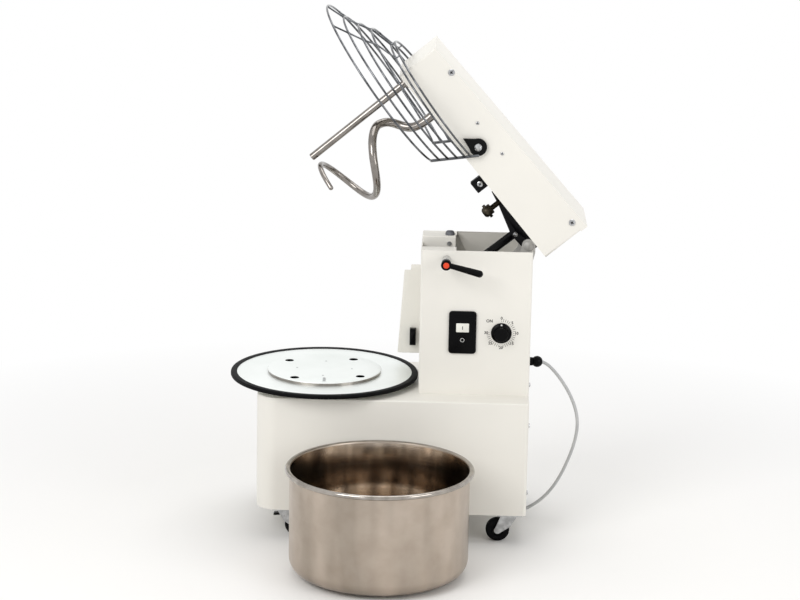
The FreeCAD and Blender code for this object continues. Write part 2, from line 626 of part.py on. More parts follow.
def head_tools():
    bar = rod(at("-bar_back", 0, "head_rise-bar_drop"), "bar_radius", "bar_drop+head_depth/2")
    collar = rod(at("-bar_back", 0, "head_rise-collar_height"), "collar_radius", "collar_height")
    nut = rod(at("-bar_back", 0, "head_rise+sheet_metal"), "collar_radius", "collar_height")
    keep("breaker_bar", fuse(bar, collar, nut), HEAD)
    case = box("-spiral_back-head_width/5", "-head_width/4", "head_rise+sheet_metal",
               "head_width*2/5", "head_width/2", "head_depth*0.7")
    bore = rod(at("-spiral_back", 0, "head_rise"), "spiral_rod+running", "spiral_shaft+free")
    keep("spiral_gearbox", cut(case, bore), HEAD)
    middle = "head_rise+sheet_metal+head_depth*0.4"
    flange = rod(at("-spiral_back+head_width/5", 0, middle, ALONG), "head_depth*0.3", "free*10")
    frame = rod(at("-spiral_back+head_width/5+free*10", 0, middle, ALONG), "head_depth*0.4",
                "motor_length")
    keep("spiral_motor", fuse(flange, frame), HEAD)


def spiral_hook():
    """A tapered rod: a straight shank, an outward bend, and a coil that flattens at the bottom."""
    rise, back = val("head_rise"), val("spiral_back")
    coil, first, bottom = val("spiral_radius"), val("spiral_turn_drop"), val("spiral_bottom")
    reach = [(0, 0, val("spiral_start") / 6), (0, 0, val("spiral_start") / 2),
             (0, 0, val("spiral_start")), (0.04, 0.07, 0.48 * first), (0.23, 0.21, 0.63 * first),
             (0.55, 0.32, 0.735 * first), (0.86, 0.21, 0.84 * first)]
    points = [Vector(-back - coil * out, coil * side, rise - drop) for out, side, drop in reach]
    middle = (bottom + 6 * first) / 7 * 1.63
    for angle in range(0, 433, 24):
        turn = math.radians(angle)
        if angle <= 180:
            drop, radius = first + (middle - first) * angle / 180, coil
        else:
            part = min((angle - 180) / 180, 1)
            drop = middle + (bottom - middle) * (1 - (1 - part) ** 2) + max(angle - 360, 0) / 18
            radius = coil * (1 + 0.16 * part)
        points.append(Vector(-back - radius * math.cos(turn), -radius * math.sin(turn), rise - drop))
    curve = Part.BSplineCurve()
    curve.interpolate(points)
    path = Part.Wire(curve.toShape())
    start, end = curve.FirstParameter, curve.LastParameter
    sections = []
    for where, radius in ((start, "spiral_rod"), (start + (end - start) * 0.55, "spiral_rod*0.92"),
                          (end, "spiral_tip")):
        ring = Part.Circle(curve.value(where), curve.tangent(where)[0], val(radius))
        sections.append(Part.Wire(ring.toShape()))
    shape = path.makePipeShell(sections, True, False)
    tip = Part.makeSphere(val("spiral_tip"), curve.value(end))
    shank = Part.makeCylinder(val("spiral_rod"), val("spiral_start/6+spiral_shaft"), points[0])
    solid("spiral_hook", shape.fuse([tip, shank]), HEAD)


# ---------------------------------------------------------------- guard

# For each wire: its place along the side arms from the lowest, how far its middle lies behind
# the head's front, and how far it stands out from the head's side.
GUARD_WIRES = [(0.0, 39.5, 136), (0.17, 31.5, 90), (0.36, 58.5, 88), (0.55, 76.5, 82),
               (0.72, 102, 58), (0.84, 102, 58)]
GUARD_RIBS = (-30, 0, 30)


def arm_ends(side):
    """The lowest and the highest point of one side arm, measured from the guard's pivot."""
    out = side * val("head_width/2+bracket_gap+bracket_thick+rod_radius")
    return (Vector(-val("guard_ahead"), out, -val("guard_drop")),
            Vector(val("guard_behind"), out, -val("guard_under")))


def straight(radius, start, end):
    return Part.makeCylinder(radius, (end - start).Length, start, end - start)


def bent(radius, centre, start, end):
    """A round bar bent about an upright axis, anticlockwise from start to end."""
    first, last = [math.degrees(math.atan2(point.y - centre.y, point.x - centre.x))
                   for point in (start, end)]
    ring = Part.makeTorus((start - centre).Length, radius, Vector(), Vector(0, 0, 1), 0, 360,
                          (last - first) % 360)
    ring.Placement = Placement(centre, Rotation(Vector(0, 0, 1), first))
    return ring


def mirrored(point):
    return Vector(point.x, -point.y, point.z)


class Wire:
    """A level wire: one arc across the front and, on each side, one arc back to the arm."""

    def __init__(self, part, back, out):
        low, high = arm_ends(-1)
        self.end = low + (high - low) * part
        self.radius = val("head_width/2") + out
        self.middle = Vector(back - val("head_length-head_rear-guard_back"), 0, self.end.z)

    def point(self, angle):
        turn = math.radians(angle)
        return self.middle + Vector(-math.cos(turn), math.sin(turn), 0) * self.radius

    def rods(self, radius):
        """The front arc and the two at the sides, which run on smoothly from it."""
        joint = self.point(-val("guard_break"))
        inward = (self.middle - joint) / self.radius
        chord = self.end - joint
        centre = joint + inward * (chord.dot(chord) / (2 * chord.dot(inward)))
        return [bent(radius, self.middle, mirrored(joint), joint),
                bent(radius, centre, joint, self.end),
                bent(radius, mirrored(centre), mirrored(self.end), mirrored(joint))]


def guard():
    """Wires held by ribs across their front and by a straight arm on each side."""
    wires = [Wire(*row) for row in GUARD_WIRES]
    grille = [piece for wire in wires for piece in wire.rods(val("wire_radius"))]
    for angle in GUARD_RIBS:
        points = [wire.point(angle) for wire in wires]
        grille += [straight(val("rib_radius"), start, end) for start, end in zip(points, points[1:])]
    for side in (-1, 1):
        low, high = arm_ends(side)
        grille += [straight(val("rod_radius"), low, high), Part.makeSphere(val("rod_radius"), low)]
    tilted = Rotation(Vector(0, 1, 0), val("guard_pitch"))
    solid("guard_cage", grille[0].fuse(grille[1:]),
          HEAD.multiply(at("-guard_back", 0, "head_rise+guard_rise", tilted)))


def guard_brackets():
    """A plate with a round end on each side, which the guard's arms are welded to."""
    lean = Rotation(Vector(0, 1, 0), -val("bracket_lean"))
    for name, sign in (("guard_bracket_near", "-"), ("guard_bracket_far", "")):
        body = new_body(name + "_body")
        boss = sketch(body, "XZ_Plane")
        circle(boss, "0", "0", "bracket_radius")
        extrude(body, "Pad", boss, "bracket_thick", middle=True)
        plate = sketch(body, "XZ_Plane")
        outline(plate, [("0", "-bracket_radius*0.95"), ("0", "bracket_radius*0.95"),
                        ("-bracket_length", "bracket_radius*0.95"),
                        ("-bracket_foot", "-bracket_radius*0.95")])
        extrude(body, "Pad", plate, "bracket_thick", middle=True)
        bore = sketch(body, "XZ_Plane")
        circle(bore, "0", "0", "wing_screw+running")
        extrude(body, "Pocket", bore, "bracket_thick*4", middle=True)
        place = sign + "(head_width/2+bracket_gap+bracket_thick/2)"
        keep(name, body, HEAD.multiply(at("-guard_back", place, "head_rise+guard_rise", lean)))
    pins = []
    for sign in (-1, 1):
        start = Vector(-val("guard_back"), sign * val("head_width/2"), val("head_rise+guard_rise"))
        outward = Vector(0, sign, 0)
        shank = val("bracket_gap+bracket_thick+seat")
        spacer = Part.makeCylinder(val("wing_screw*1.8"), val("bracket_gap-seat"), start, outward)
        screw = Part.makeCylinder(val("wing_screw"), shank, start, outward)
        cap = Part.makeCylinder(val("wing_screw*1.5"), val("wing_screw*0.8"),
                                start + outward * shank, outward)
        pins.append(spacer.fuse([screw, cap]))
    solid("guard_pivots", Part.makeCompound(pins), HEAD)


# ---------------------------------------------------------------- controls

def switch_and_buttons():
    body = new_body("switch_plate_body")
    face = sketch(body, "XZ_Plane")
    outline(face, rectangle("-switch_wide/2", "-switch_tall/2", "switch_wide/2", "switch_tall/2"))
    pad = extrude(body, "Pad", face, "switch_proud")
    round_edges(body, pad, "switch_wide/8", lambda e: abs(e.tangentAt(e.FirstParameter).y) > 0.99)
    well = sketch(body, "XZ_Plane", "switch_proud")
    outline(well, rectangle("-start_wide/2-seat", "start_up-start_tall/2-seat",
                            "start_wide/2+seat", "start_up+start_tall/2+seat"))
    circle(well, "0", "-stop_down", "stop_radius+seat")
    extrude(body, "Pocket", well, "switch_proud*2")
    place = at("switch_x", "-column_width/2", "switch_z")
    keep("switch_plate", body, place)
    start = new_body("start_button_body")
    face = sketch(start, "XZ_Plane", "-button_proud")
    outline(face, rectangle("-start_wide/2", "start_up-start_tall/2", "start_wide/2",
                            "start_up+start_tall/2"))
    pad = extrude(start, "Pad", face, "switch_proud+button_proud*1.5")
    round_edges(start, pad, "sheet_metal", lambda e: abs(e.tangentAt(e.FirstParameter).y) > 0.99)
    keep("start_button", start, place)
    stop = new_body("stop_button_body")
    face = sketch(stop, "XZ_Plane", "-button_proud")
    circle(face, "0", "-stop_down", "stop_radius")
    pad = extrude(stop, "Pad", face, "switch_proud+button_proud*1.5")
    keep("stop_button", stop, place)
    case = box("-switch_wide*0.4", "sheet_metal*2", "-switch_tall*0.42", "switch_wide*0.8",
               "switch_wide*0.7", "switch_tall*0.84")
    room = box("-start_wide/2-seat", "sheet_metal", "start_up-start_tall/2-seat",
               "start_wide+seat*2", "button_proud+button_travel+seat", "start_tall+seat*2")
    well = rod(at(0, "sheet_metal", "-stop_down", ACROSS), "stop_radius+seat",
               "button_proud+button_travel+seat")
    neck = box("-switch_wide*0.4+seat", 0, "-switch_tall*0.42+seat", "switch_wide*0.8-seat*2",
               "sheet_metal*2", "switch_tall*0.84-seat*2")
    keep("switch_case", cut(fuse(case, neck), room, well,
                            box("-start_wide/2-seat", "-free", "start_up-start_tall/2-seat",
                                "start_wide+seat*2", "sheet_metal*2", "start_tall+seat*2"),
                            rod(at(0, "-free", "-stop_down", ACROSS), "stop_radius+seat",
                                "sheet_metal*2")), place)


def timer_knob():
    body = new_body("timer_knob_body")
    grip = "knob_grip"
    revolve(body, [("0", "-sheet_metal*4"), ("knob_shaft", "-sheet_metal*4"), ("knob_shaft", "seat"),
                   ("knob_radius", "seat"), ("knob_radius", "knob_skirt*0.7"),
                   ("knob_radius*0.93", "knob_skirt"), (grip, "knob_skirt*1.4"),
                   (grip + "*0.93", "knob_depth"), ("0", "knob_depth")])
    keep("timer_knob", body,
         at("knob_x", "-column_width/2", "switch_z", Rotation(Vector(1, 0, 0), 90)))


def clamp_lever():
    """The black lever on the column's side, its orange cap, its steel hub and the inner cam."""
    outward, inward = Vector(0, -1, 0), Vector(0, 1, 0)
    face = val("-column_width/2-seat")
    neck = face - val("collar_long")
    front = neck - val("lever_depth")
    hub = Part.makeCone(val("lever_hub") * 0.92, val("lever_hub"), val("lever_depth"),
                        Vector(0, neck, 0), outward)
    fall = math.radians(val("lever_fall"))
    start = Vector(0, front + val("lever_hub") * 0.75, 0)
    reach = Vector(math.cos(fall), -0.08, -math.sin(fall)) * val("lever_reach")
    arm = Part.makeCone(val("lever_arm") * 0.85, val("lever_arm"), reach.Length, start, reach)
    end = Part.makeSphere(val("lever_arm"), start + reach)
    pin_room = Part.makeCylinder(val("lever_pin"), val("lever_depth") * 0.7, Vector(0, neck, 0),
                                 outward)
    place = at("lever_x", 0, "lever_z")
    solid("clamp_lever", hub.fuse([arm, end]).cut(pin_room), place)
    cap = Part.makeCylinder(val("lever_cap"), val("sheet_metal"), Vector(0, front, 0), outward)
    solid("lever_cap", cap, place)
    inner = -val("block_middle+block_thick/2+bolt_head+seat")
    tail = neck - val("lever_depth") * 0.7
    pin = Part.makeCylinder(val("lever_pin"), inner - tail, Vector(0, tail, 0), inward)
    collar = Part.makeCone(val("lever_hub") * 0.92, val("lever_hub") * 0.8, val("collar_long"),
                           Vector(0, neck, 0), inward)
    cam = Part.makeCylinder(val("lever_hub"), val("lever_cap"),
                            Vector(val("lever_pin") * 0.8, inner - val("lever_cap"), 0), inward)
    solid("lever_hub_and_cam", pin.fuse([collar, cam]), place)


# ---------------------------------------------------------------- gas spring

def gas_spring():
    upper, lower = spring_points()
    along = lower - upper
    along.normalize()
    side = Vector(0, -val("spring_middle"), 0)
    wide = val("spring_radius*0.9")
    top, foot = upper + side, lower + side
    gap = val("spring_eye")
    eye = Part.makeCylinder(gap * 0.8, 2 * wide, top - Vector(0, wide, 0), Vector(0, 1, 0))
    tube = Part.makeCylinder(val("spring_radius"), val("spring_tube"), top + along * gap * 0.6, along)
    hole = Part.makeCylinder(val("spring_pin+running"), 4 * wide, top - Vector(0, 2 * wide, 0),
                             Vector(0, 1, 0))
    bore = Part.makeCylinder(val("spring_rod+running"), val("spring_tube"),
                             top + along * gap * 1.6, along)
    solid("gas_spring_tube", tube.fuse(eye).cut(hole).cut(bore))
    start = val("spring_tube") * 0.6
    length = (foot - top).Length - start - gap + 1
    stem = Part.makeCylinder(val("spring_rod"), length, top + along * start, along)
    ring = Part.makeCylinder(gap, 1.2 * wide, foot - Vector(0, 0.6 * wide, 0), Vector(0, 1, 0))
    hole = Part.makeCylinder(val("spring_loose"), 4 * wide, foot - Vector(0, 2 * wide, 0),
                             Vector(0, 1, 0))
    solid("gas_spring_rod", stem.fuse(ring).cut(hole))


# ---------------------------------------------------------------- castors

def castors():
    """Four swivel castors: top plates, forks and wheels, with a brake pedal on the front two."""
    plates = []
    under = val("base_bottom")
    plate, crown_gap = val("castor_plate"), val("seat")
    crown_top = under - plate - crown_gap
    fork = val("fork_sheet")
    half = val("wheel_width/2+free")
    trail, axle = val("castor_trail"), val("axle_radius")
    radius, width = val("wheel_radius"), val("wheel_width")
    for end, x, turn in (("front", "castor_front_x", 1), ("rear", "castor_rear_x", -1)):
        for side, y in (("near", -1), ("far", 1)):
            pivot = Vector(val(x) + turn * val("pedal_x"), y * val("castor_side"), val("pedal_z"))
            king = Vector(val(x), y * val("castor_side"), 0)
            top = Part.makeBox(val("castor_long"), val("castor_wide"), plate,
                               king + Vector(-val("castor_long/2"), -val("castor_wide/2"), under - plate))
            pin = Part.makeCylinder(val("king_pin"), plate + crown_gap + fork * 2,
                                    king + Vector(0, 0, under - plate - crown_gap - fork * 2))
            plates.append(top.fuse(pin))
            hub = king + Vector(turn * trail, 0, radius)
            disc = Part.makeCylinder(fork * 4.5, fork, king + Vector(0, 0, crown_top - fork))
            deck = Part.makeBox(trail * 1.4, 2 * (half + fork), fork,
                                king + Vector(-trail * 0.7, -half - fork, crown_top - fork))
            legs = []
            for leg in (-1, 1):
                corner = king + Vector(0, leg * (half + fork / 2) - fork / 2, 0)
                outline_points = [Vector(-trail * 0.7 * turn, 0, crown_top),
                                  Vector(trail * 0.7 * turn, 0, crown_top),
                                  Vector(turn * (trail + axle * 1.8), 0, radius),
                                  Vector(turn * (trail - axle), 0, radius - axle * 1.5),
                                  Vector(-trail * 0.1 * turn, 0, radius + axle * 2.2)]
                wire = Part.makePolygon([corner + p for p in outline_points]
                                        + [corner + outline_points[0]])
                legs.append(Part.Face(wire).extrude(Vector(0, fork, 0)))
                legs.append(Part.makeCylinder(axle * 1.8, fork, hub + Vector(
                    0, leg * (half + fork / 2) - fork / 2, 0), Vector(0, 1, 0)))
            spindle = Part.makeCylinder(axle, 2 * (half + fork), hub - Vector(0, half + fork, 0),
                                        Vector(0, 1, 0))
            shape = disc.fuse([deck, spindle] + legs)
            shape = shape.cut(Part.makeCylinder(val("king_pin+running"), fork * 8,
                                                king + Vector(0, 0, crown_top - fork * 4)))
            if end == "front":
                shape = shape.cut(Part.makeCylinder(val("pedal_pin+running"), 4 * (half + fork),
                                                    pivot - Vector(0, 2 * (half + fork), 0),
                                                    Vector(0, 1, 0)))
                pin = Part.makeCylinder(val("pedal_pin"), 2 * (half + fork),
                                        pivot - Vector(0, half + fork, 0), Vector(0, 1, 0))
                pad = Part.makeBox(val("pedal_length"), 2 * half - crown_gap * 2, fork,
                                   Vector(-val("pedal_length"), crown_gap - half, -fork / 2))
                pad.Placement = Placement(pivot, Rotation(Vector(0, 1, 0), -val("pedal_lean")))
                solid("brake_pedal_%s" % side, pin.fuse(pad))
            solid("castor_fork_%s_%s" % (end, side), shape)
            wheel = Part.makeCylinder(radius, width, hub - Vector(0, width / 2, 0), Vector(0, 1, 0))
            wheel = wheel.makeFillet(width / 5, [e for e in wheel.Edges if e.Curve.TypeId
                                                 == "Part::GeomCircle"])
            for face in (-1, 1):
                dish = Part.makeCylinder(radius * 0.66, width / 8,
                                         hub + Vector(0, face * (width / 2 - width / 16) - width / 16, 0),
                                         Vector(0, 1, 0))
                boss = Part.makeCylinder(axle * 2, width / 8, hub + Vector(
                    0, face * (width / 2 - width / 16) - width / 16, 0), Vector(0, 1, 0))
                wheel = wheel.cut(dish.cut(boss))
            wheel = wheel.cut(Part.makeCylinder(axle + val("running"), width * 2,
                                                hub - Vector(0, width, 0), Vector(0, 1, 0)))
            solid("castor_wheel_%s_%s" % (end, side), wheel)
    solid("castor_plates", Part.makeCompound(plates))


# ---------------------------------------------------------------- mains cable

CABLE_ROUTE = [
    (455.8, 0, 354.8), (466.9, 0.3, 350.3), (476.7, 0.9, 343.2), (488.3, 1.6, 331), (500.7, 2.4, 315.3),
    (514.3, 3.6, 294.8), (526.3, 5, 271.5), (535.5, 7, 246), (540.3, 9, 217), (537.6, 11.4, 187),
    (530.7, 13.5, 158), (521, 15.6, 129.5), (509.3, 17.8, 101), (494.4, 20.3, 73), (475.8, 22.8, 48.3),
    (453.5, 25.2, 28.5), (428, 28.8, 13.2), (400, 37, 4.8), (375, 54, 3.8), (356.5, 79, 3.9),
    (345.5, 108, 3.8), (340.5, 137, 3.9), (338.8, 165, 3.8), (338.5, 192, 3.8),
]


def cable_tube(points, radius):
    """Straight runs joined by tangent arcs, each as large as its two runs allow."""
    edges, start, radii = [], points[0], []
    for before, here, after in zip(points, points[1:], points[2:]):
        back, ahead = here - before, after - here
        turn = back.getAngle(ahead)
        reach = 0.45 * min(back.Length, ahead.Length)
        radii.append(reach / math.tan(turn / 2))
        back.normalize()
        ahead.normalize()
        enter, leave = here - back * reach, here + ahead * reach
        inward = (ahead - back)
        inward.normalize()
        middle = here + inward * (radii[-1] / math.cos(turn / 2) - radii[-1])
        edges.append(Part.LineSegment(start, enter).toShape())
        edges.append(Part.Arc(enter, middle, leave).toShape())
        start = leave
    edges.append(Part.LineSegment(start, points[-1]).toShape())
    path = Part.Wire(edges)
    first = points[1] - points[0]
    section = Part.Wire(Part.Circle(points[0], first, radius).toShape())
    tube = path.makePipeShell([section], True, False)
    expected = math.pi * radius ** 2 * path.Length
    print("cable length %.1f  volume ratio %.5f" % (path.Length, tube.Volume / expected))
    print("cable radii", [round(r) for r in radii])
    return tube


def mains_cable():
    """The lead from its round strain relief at the rear to its coil, and the coil."""
    inlet = Vector(val("base_rear"), 0, val("gland_height"))
    away = Vector(1, 0, 0)
    radius, wall = val("gland_radius"), val("sheet_metal")
    inner = Part.makeCylinder(radius * 0.69, wall * 4, inlet - away * wall * 4, away)
    flange = Part.makeCylinder(radius, wall * 1.5, inlet, away)
    neck = Part.makeCylinder(radius * 0.75, val("gland_length") - radius, inlet, away)
    ball = Part.makeSphere(radius, inlet + away * (val("gland_length") - radius))
    points = [Vector(*point) for point in CABLE_ROUTE]
    socket = Part.makeCylinder(val("cable_radius"), radius * 2, points[0], points[1] - points[0])
    solid("cable_gland", inner.fuse([flange, neck, ball]).cut(socket))
    solid("power_cable", cable_tube(points, val("cable_radius")))
    middle, half = val("coil_middle"), val("cable_radius") * 2
    centre = Vector(val("coil_x"), val("coil_y"), 0)
    ring = Part.makeCylinder(middle + half, val("coil_height"), centre)
    ring = ring.cut(Part.makeCylinder(middle - half, val("coil_height") * 3,
                                      centre - Vector(0, 0, val("coil_height"))))
    solid("power_cable_coil", ring)


def mains_plug():
    """A moulded two-pin plug that lies beside the coil, in line with its last turn."""
    away = Vector(0, -1, 0)
    centre = Vector(val("coil_x-coil_middle-cable_radius"), val("coil_y"), val("plug_deep/2"))
    start = centre + away * val("plug_offset")
    inner = start + away * val("plug_neck")
    neck = Part.makeCone(val("cable_radius*1.4"), val("plug_deep/2") * 0.8, val("plug_neck"), start, away)
    case = Part.makeCylinder(val("plug_wide/2"), val("plug_length"), inner, away)
    flat = Part.makeBox(val("plug_wide"), val("plug_length"), val("plug_deep"),
                        inner + Vector(-val("plug_wide/2"), -val("plug_length"), -val("plug_deep/2")))
    pins = [Part.makeCylinder(val("plug_pin"), val("plug_pin_length"),
                              inner + Vector(side * val("plug_spacing/2"), -val("plug_length"), 0), away)
            for side in (-1, 1)]
    solid("mains_plug", neck.fuse([case.common(flat)] + pins))


# ---------------------------------------------------------------- screws

def screws():
    """Cover screws on the head, the catch block's bolt, and screws at the rear edges below."""
    heads = []
    for back, rise, radius in (("0.875*head_length", "head_depth", "cover_screw"),
                               ("0.05*head_length", "head_depth", "cover_screw"),
                               ("0.638*head_length", "0.745*head_depth", "cover_screw/2"),
                               ("0.47*head_length", "0.745*head_depth", "cover_screw/2")):
        for side in (-1, 1):
            centre = Vector(val("head_rear-" + back), side * val("head_width/2"),
                            val("head_rise+" + rise + "-cover_screw/2"))
            heads.append(Part.makeCylinder(val(radius), val("screw_head"), centre, Vector(0, side, 0)))
    heads.append(Part.makeCylinder(val("bolt_radius"), val("bolt_head"),
                                   Vector(val("block_length/2-block_front"),
                                          -val("block_middle+block_thick/2"),
                                          val("head_rise-block_drop/2")), Vector(0, -1, 0)))
    solid("head_screws", Part.makeCompound(heads), HEAD)
    heads = []
    for half, height in (("column_width/2", "base_top+21"), ("base_width/2", "base_top-49"),
                         ("base_width/2", "base_bottom+48")):
        for side in (-1, 1):
            centre = Vector(val("base_rear"), side * val(half + "-rear_corner*1.6"), val(height))
            heads.append(Part.makeCylinder(val("cover_screw*0.6"), val("screw_head"), centre,
                                           Vector(1, 0, 0)))
    solid("rear_screws", Part.makeCompound(heads))


for make in (base_shell, base_floor, column_shell, side_wing, rest_bracket, hinge_bracket,
             spring_stud, turntable, bowl_plate, turntable_drive, bowl, head_shell, head_cover,
             head_arms, catch_block, adjuster_knob, head_tools, spiral_hook, guard, guard_brackets,
             switch_and_buttons, timer_knob, clamp_lever, gas_spring, castors, mains_cable,
             mains_plug, screws):
    make()
doc.recompute()

# The origin goes to the bottom centre of the machine's box, the mains cable left out.
whole = FreeCAD.BoundBox()
for label, obj in NODES.items():
    if label not in CORD_NODES:
        whole.add(obj.Shape.optimalBoundingBox(True))
shift = Placement(Vector(-whole.Center.x, -whole.Center.y, -whole.ZMin), Rotation())
for obj in NODES.values():
    obj.Placement = shift.multiply(obj.Placement)

for obj in doc.Objects:
    if "Invalid" in obj.State or "Error" in obj.State:
        raise RuntimeError("%s failed: %s" % (obj.Label, obj.State))
for label, obj in NODES.items():
    if obj.Shape.isNull() or not obj.Shape.isValid():
        raise RuntimeError("%s has no valid shape" % label)

os.makedirs("parts", exist_ok=True)
for label, obj in NODES.items():
    obj.Shape.exportStep("parts/%s.step" % label)
print(len(NODES), "nodes; shift", shift.Base, "box", whole)
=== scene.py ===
"""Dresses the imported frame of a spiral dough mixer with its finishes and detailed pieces."""
import json
import math

import bmesh
import bpy
from bpy.props import FloatProperty, FloatVectorProperty, IntProperty, PointerProperty
from mathutils import Matrix, Vector

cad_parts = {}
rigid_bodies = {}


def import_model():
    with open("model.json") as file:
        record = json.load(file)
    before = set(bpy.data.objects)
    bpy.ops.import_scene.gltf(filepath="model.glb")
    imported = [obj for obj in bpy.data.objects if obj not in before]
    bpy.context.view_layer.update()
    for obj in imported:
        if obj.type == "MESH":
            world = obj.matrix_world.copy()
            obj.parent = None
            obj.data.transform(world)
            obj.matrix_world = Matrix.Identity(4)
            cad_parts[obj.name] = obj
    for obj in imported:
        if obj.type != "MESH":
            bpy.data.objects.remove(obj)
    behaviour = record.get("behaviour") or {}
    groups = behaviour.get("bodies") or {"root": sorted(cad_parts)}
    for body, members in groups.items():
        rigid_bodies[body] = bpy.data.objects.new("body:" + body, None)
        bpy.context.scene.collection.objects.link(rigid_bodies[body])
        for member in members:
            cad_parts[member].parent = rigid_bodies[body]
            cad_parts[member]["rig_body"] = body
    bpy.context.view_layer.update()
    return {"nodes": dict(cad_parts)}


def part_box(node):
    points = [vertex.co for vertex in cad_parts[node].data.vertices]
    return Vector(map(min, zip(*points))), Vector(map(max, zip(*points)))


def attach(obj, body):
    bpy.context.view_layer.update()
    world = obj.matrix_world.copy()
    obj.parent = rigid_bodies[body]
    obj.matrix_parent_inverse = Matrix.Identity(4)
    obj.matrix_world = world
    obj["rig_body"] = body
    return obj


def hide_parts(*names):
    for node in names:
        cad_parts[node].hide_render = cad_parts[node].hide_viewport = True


bl_info = {
    "name": "Spiral dough mixer",
    "version": (1, 0, 0),
    "blender": (4, 5, 0),
    "location": "View3D > Sidebar > Mixer",
    "description": "Builds the finishes and detailed pieces of a spiral dough mixer",
    "category": "Object",
}

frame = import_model()

# Lengths below are in millimetres. They are measured from the floor under the turntable's
# axis, and in the head from its hinge, as if the head lay level.
disc_low, disc_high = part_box("turntable_disc")
MILLIMETRES = Matrix.Scale(0.001, 4)


def to(x, y, z):
    """A move by so much along each axis."""
    return Matrix.Translation((x, y, z))


def turned(degrees, axis):
    """A turn about an axis."""
    return Matrix.Rotation(math.radians(degrees), 4, axis)


FLOOR = to((disc_low.x + disc_high.x) / 2, (disc_low.y + disc_high.y) / 2, 0) @ MILLIMETRES
HINGE, HEAD_RAISE = (422.7, 0, 615), 50.1   # the head's pivot, and its tilt in degrees
HEAD = FLOOR @ to(*HINGE) @ turned(HEAD_RAISE, "Y")
FRONTWARD = turned(90, "X")                 # turns +Z to -Y
COLUMN_NEAR, COLUMN_REAR = -97, 431.4       # the column's near side and its back
HEAD_SIDE = 94                              # from the head's middle to its side
SPIRAL_AXIS, BREAKER_AXIS = -330, -418      # the two tools, along the head
BOWL_PLACE = (132.5, -350.5, 0)             # where the bowl stands on the floor
STUD_CIRCLE, STUD_TURN = 97.5, -36.4        # the bowl's drive studs: radius and turn in degrees


def spot(x, y, z):
    """A point given in millimetres, in the row frame."""
    return FLOOR @ Vector((x, y, z))


def linear(hex_colour):
    """An sRGB hex colour as the linear colour that a shader takes."""
    channels = [int(hex_colour[i:i + 2], 16) / 255 for i in (1, 3, 5)]
    return [c / 12.92 if c <= 0.04045 else ((c + 0.055) / 1.055) ** 2.4 for c in channels] + [1.0]


# ------------------------------------------------------------------ settings

class MixerFinish(bpy.types.PropertyGroup):
    """Colours of the finishes that a maker might offer."""
    paint: FloatVectorProperty(
        name="Paint", description="Powder coat on the base, column and head",
        subtype="COLOR", size=4, min=0, max=1, default=linear("#EAE7DF"))
    cap: FloatVectorProperty(
        name="Lever cap", description="Moulded cap on the clamp lever's hub",
        subtype="COLOR", size=4, min=0, max=1, default=linear("#E8451C"))
    lead: FloatVectorProperty(
        name="Mains lead", description="Sheath of the mains lead",
        subtype="COLOR", size=4, min=0, max=1, default=linear("#BEBFBF"))


class MixerSizes(bpy.types.PropertyGroup):
    """Sizes of the drawn pieces."""
    wire: FloatProperty(
        name="Guard wire", description="Diameter of the guard's level wires, in millimetres",
        min=3, max=6, default=4.4)
    lead_length: FloatProperty(
        name="Lead length", description="Length of the mains lead from gland to plug",
        unit="LENGTH", min=1, max=3, default=1.95)
    lead_diameter: FloatProperty(
        name="Lead diameter", description="Diameter of the mains lead",
        unit="LENGTH", min=0.005, max=0.01, default=0.007)
    ticks: IntProperty(
        name="Timer minutes", description="Minutes marked round the timer knob",
        min=10, max=60, default=30)


# ------------------------------------------------------------------ shape helpers

def arc(x, z, radius, start, end, steps):
    """Points on an arc from one angle to another, in degrees."""
    turns = [math.radians(start + (end - start) * i / steps) for i in range(steps + 1)]
    return [(x + radius * math.cos(t), z + radius * math.sin(t)) for t in turns]


def lathe(profile, steps):
    """A closed outline of (radius, height) turned about Z."""
    shape = bmesh.new()
    verts = [shape.verts.new((radius, 0, height)) for radius, height in profile]
    edges = [shape.edges.new(pair) for pair in zip(verts, verts[1:] + verts[:1])]
    bmesh.ops.spin(shape, geom=verts + edges, angle=math.tau, steps=steps, axis=(0, 0, 1),
                   cent=(0, 0, 0), use_merge=True)
    bmesh.ops.remove_doubles(shape, verts=shape.verts, dist=1e-4)
    bmesh.ops.dissolve_degenerate(shape, edges=shape.edges, dist=1e-5)
    bmesh.ops.recalc_face_normals(shape, faces=shape.faces)
    return shape


def round_off(shape, edges, radius, segments=3):
    """Rounds some edges of a shape."""
    bmesh.ops.bevel(shape, geom=edges, offset=radius, offset_type="OFFSET", affect="EDGES",
                    segments=segments, profile=0.5, material=-1)


def block(low, high):
    """A block between two corners."""
    shape = bmesh.new()
    low, high = Vector(low), Vector(high)
    size = high - low
    bmesh.ops.create_cube(shape, size=1, matrix=Matrix.Translation((low + high) / 2)
                          @ Matrix.Diagonal((*size, 1)))
    return shape


def slab(width, height, depth, corner, edge):
    """A plate in X and Z with round corners, whose face points to -Y and has a rounded rim."""
    shape = block((-width / 2, -depth, -height / 2), (width / 2, 0, height / 2))
    along = [e for e in shape.edges if abs(e.verts[0].co.y - e.verts[1].co.y) > depth / 2]
    round_off(shape, along, corner, 6)
    rim = [e for e in shape.edges if all(v.co.y < -depth * 0.99 for v in e.verts)]
    round_off(shape, rim, edge)
    return shape


def join(shapes):
    """One shape made of several."""
    whole = bmesh.new()
    for shape in shapes:
        part = bpy.data.meshes.new("part")
        shape.to_mesh(part)
        shape.free()
        whole.from_mesh(part)
        bpy.data.meshes.remove(part)
    return whole


def moved(shape, matrix):
    """The same shape in another place."""
    shape.transform(matrix)
    return shape


